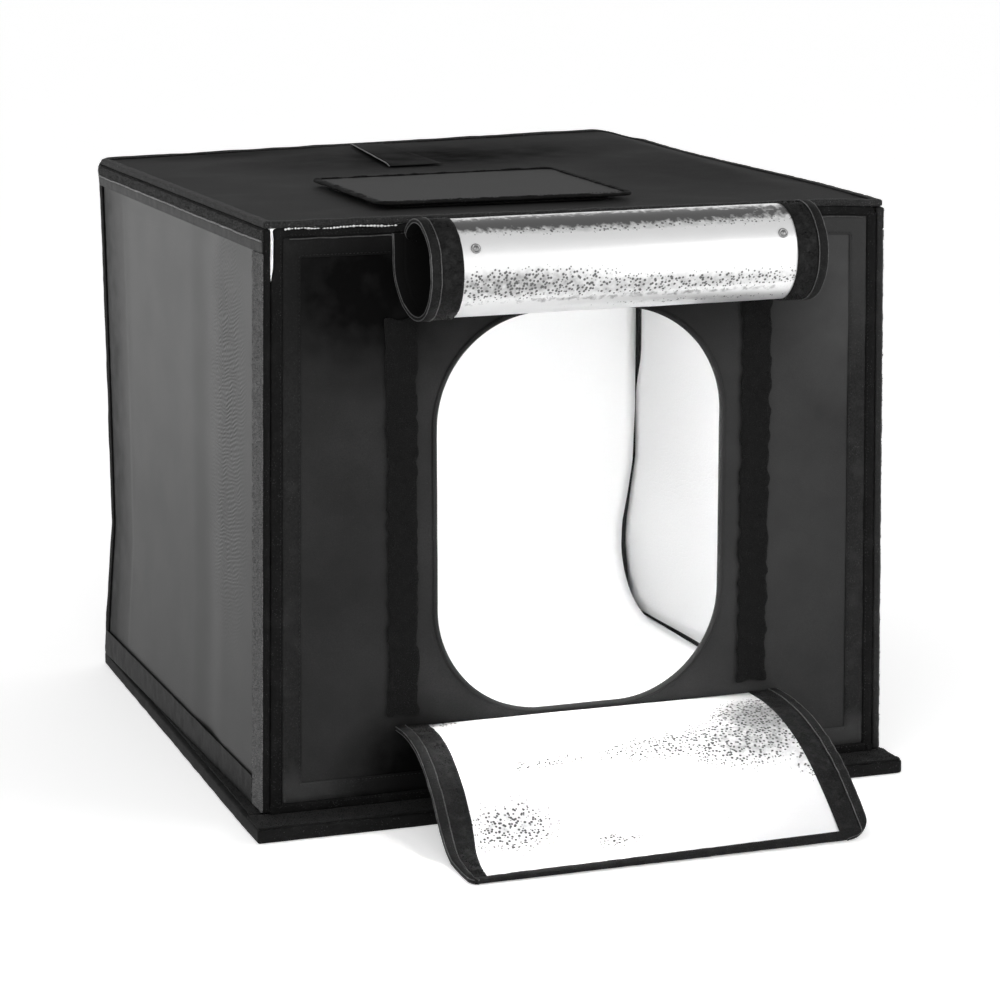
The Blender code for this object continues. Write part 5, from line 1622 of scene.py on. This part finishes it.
def build_snaps():
    """Two snap fasteners on the roll: a domed middle in a raised ring."""
    out = np.array((0.0, math.cos(SNAP_TURN), math.sin(SNAP_TURN)))
    up = np.array((0.0, -math.sin(SNAP_TURN), math.cos(SNAP_TURN)))
    turns = np.linspace(0.0, math.tau, SNAP_TURNS, endpoint=False)[:, None]
    ring = np.cos(turns) * np.array((1.0, 0.0, 0.0)) + np.sin(turns) * up
    places = (("left", FLAP_LEFT + SNAP_INSET + ROLL_LEAN), ("right", FLAP_RIGHT - SNAP_INSET))
    for side, across in places:
        centre = np.array((across, *ROLL_CENTRE)) + out * (ROLL_RADIUS + SNAP_LIFT)
        rings = [centre + radius * MM * ring + out * height * MM for radius, height in SNAP_PROFILE[1:-1]]
        tips = [centre + out * SNAP_PROFILE[end][1] * MM for end in (0, -1)]
        points = [tips[0], *np.concatenate(rings), tips[1]]
        faces = []
        for k in range(SNAP_TURNS):
            following = (k + 1) % SNAP_TURNS
            starts = [1 + index * SNAP_TURNS for index in range(len(rings))]
            faces.append((0, 1 + following, 1 + k))
            faces += [(first + k, first + following, second + following, second + k)
                      for first, second in zip(starts, starts[1:])]
            faces.append((starts[-1] + k, starts[-1] + following, len(points) - 1))
        add_piece("upper_flap_snap_" + side, [chunk(points, faces)], [SNAP], "upper_flap",
                  None)


def build_flaps():
    path = roll_path()
    build_flap("upper_flap", Flap(path, path, 1, ROLL_LEAN))
    build_snaps()
    lower = Flap(lower_path(LOWER_LEFT_SHARES), lower_path(LOWER_RIGHT_SHARES), -1, curl=LOWER_CURL,
                 corners=LOWER_CORNERS)
    build_flap("lower_flap", lower)


# Inside

BACKDROP_BEND = 70.0 * MM
BACKDROP_HALF = 0.35 * MM
BACKDROP_ROWS = 110
BACKDROP_COLUMNS = 50
BACKDROP_GAP = 0.5 * MM
BEND_STEPS = 17
STRIP_PITCH = 4 * MM
EDGE_LEVELS = (0.0150, 0.022, 0.040, 0.056, 0.084, 0.112, 0.146, 0.180, 0.240, 0.346, 0.500)
EDGE_PLACES = (0.2850, 0.2830, 0.2800, 0.2785, 0.2764, 0.2773, 0.2838, 0.2890, 0.2915, 0.2915, 0.2850)


def build_backdrop():
    """The white sheet that runs down the back and forward over the floor."""
    (left, right), (front, rear), (low, high) = spans("backdrop_sheet", "up")
    wall, floor = rear - BACKDROP_GAP, low + BACKDROP_GAP
    path = [(wall, high)]
    path += [(wall - BACKDROP_BEND * (1 - math.cos(turn)), floor + BACKDROP_BEND * (1 - math.sin(turn)))
             for turn in np.linspace(0.0, math.pi / 2, BEND_STEPS)]
    path = np.array([*path, (front, floor)])
    steps = [np.linspace(0.0, 1.0, count) for count in (BACKDROP_COLUMNS, BACKDROP_ROWS)]
    across, share = np.meshgrid(*steps, indexing="ij")
    grid_x = mix(left, np.interp(path_at(path, share)[..., 1], EDGE_LEVELS, EDGE_PLACES), across)
    sides = [path_beside(path, share, np.full(share.shape, offset))
             for offset in (BACKDROP_HALF, -BACKDROP_HALF)]
    sheet = grid_solid(*(np.concatenate((grid_x[..., None], side), axis=-1) for side in sides))
    piece = add_piece("backdrop_sheet", [sheet], [SHEET], "back")
    tab = add_tape("backdrop_strip", "front", "back", seed=97, pitch=STRIP_PITCH)


def finish_lamp():
    """The lamp bar keeps its solids, with better materials."""
    finishes = {"lamp_channel": ALUMINIUM, "lamp_board": BOARD, "lamp_diffuser": GLOW,
                "lamp_end_cap_left": PLASTIC, "lamp_end_cap_right": PLASTIC, "lamp_inlet": PLASTIC}
    for node, material in finishes.items():
        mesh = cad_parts[node].data
        mesh.materials.clear()
        mesh.materials.append(material)
    for side in ("left", "right"):
        add_tape("lamp_strap_" + side, "up", "top", corner=SMALL_CORNER, shift=None)


# Floor, lights and camera

FLOOR_SIZE = 60.0
FLOOR_LEVEL = -0.0005
FLOOR_GLOW = 0.42
FLOOR_GRAIN = 0.3

# The world's strength below and above two levels of its ceiling: the levels, then the strengths
WORLD_FADE = (0.30, 0.75, 1.0, 0.42)

# The name, the place, the target, the size and the power of each light
LIGHTS = (
    ("key", (-0.9, -2.6, 2.3), (0.0, 0.0, 0.3), 2.2, 26.0),
    ("side", (-1.1, 1.6, 0.35), (-0.3, -0.1, 0.3), 0.8, 3.0),
    ("right", (1.0, -1.3, 0.9), (0.1, -0.3, 0.25), 0.7, 3.5),
)


def build_floor():
    half = FLOOR_SIZE / 2
    mesh = bpy.data.meshes.new("floor")
    mesh.from_pydata([(-half, -half, FLOOR_LEVEL), (half, -half, FLOOR_LEVEL), (half, half, FLOOR_LEVEL),
                      (-half, half, FLOOR_LEVEL)], [], [(0, 1, 2, 3)])
    floor = bpy.data.objects.new("floor", mesh)
    bpy.context.scene.collection.objects.link(floor)
    paint = Paint("floor_white", 0.8, 0.2)
    grain = paint.noise(FLOOR_GRAIN)
    rays = paint.add("LightPath")
    seen = paint.reckon("MAXIMUM", rays.outputs["Is Camera Ray"], rays.outputs["Is Glossy Ray"])
    seen = paint.reckon("MAXIMUM", seen, rays.outputs["Is Transmission Ray"])
    paint.set("Emission Color", grey(1.0))
    paint.set("Emission Strength", paint.times(seen, FLOOR_GLOW))
    mesh.materials.append(paint.finish(paint.blend(grain, grey(0.95), grey(0.97))))


def light_world():
    """White walls of a studio all round, and a darker ceiling."""
    world = bpy.data.worlds.new("studio")
    bpy.context.scene.world = world
    world.use_nodes = True
    tree = world.node_tree
    background = tree.nodes["Background"]
    background.inputs["Color"].default_value = (1.0, 1.0, 1.0, 1.0)
    place = tree.nodes.new("ShaderNodeTexCoord")
    parts = tree.nodes.new("ShaderNodeSeparateXYZ")
    level = tree.nodes.new("ShaderNodeMapRange")
    level.interpolation_type = "SMOOTHSTEP"
    for name, value in zip(("From Min", "From Max", "To Min", "To Max"), WORLD_FADE):
        level.inputs[name].default_value = value
    tree.links.new(place.outputs["Generated"], parts.inputs["Vector"])
    tree.links.new(parts.outputs["Z"], level.inputs["Value"])
    tree.links.new(level.outputs["Result"], background.inputs["Strength"])


def add_lights():
    for name, spot, target, size, power in LIGHTS:
        light = bpy.data.lights.new(name, "AREA")
        light.shape = "SQUARE"
        light.size = size
        light.energy = power
        lamp = bpy.data.objects.new(name, light)
        lamp.location = spot
        aim = Vector(target) - Vector(spot)
        lamp.rotation_euler = aim.to_track_quat("-Z", "Y").to_euler()
        bpy.context.scene.collection.objects.link(lamp)


def add_camera():
    data = bpy.data.cameras.new("camera")
    data.lens = CAMERA_LENS
    camera = bpy.data.objects.new("camera", data)
    camera.location = CAMERA_PLACE
    camera.rotation_euler = [math.radians(turn) for turn in CAMERA_TURN_DEGREES]
    bpy.context.scene.collection.objects.link(camera)
    bpy.context.scene.camera = camera


def build_scene():
    bpy.context.scene.view_settings.view_transform = "Standard"
    build_floor()
    light_world()
    add_lights()
    add_camera()
    build_base()
    build_walls()
    build_top()
    build_top_flaps()
    build_front()
    build_linings()
    build_glints()
    build_flaps()
    build_backdrop()
    finish_lamp()


build_scene()
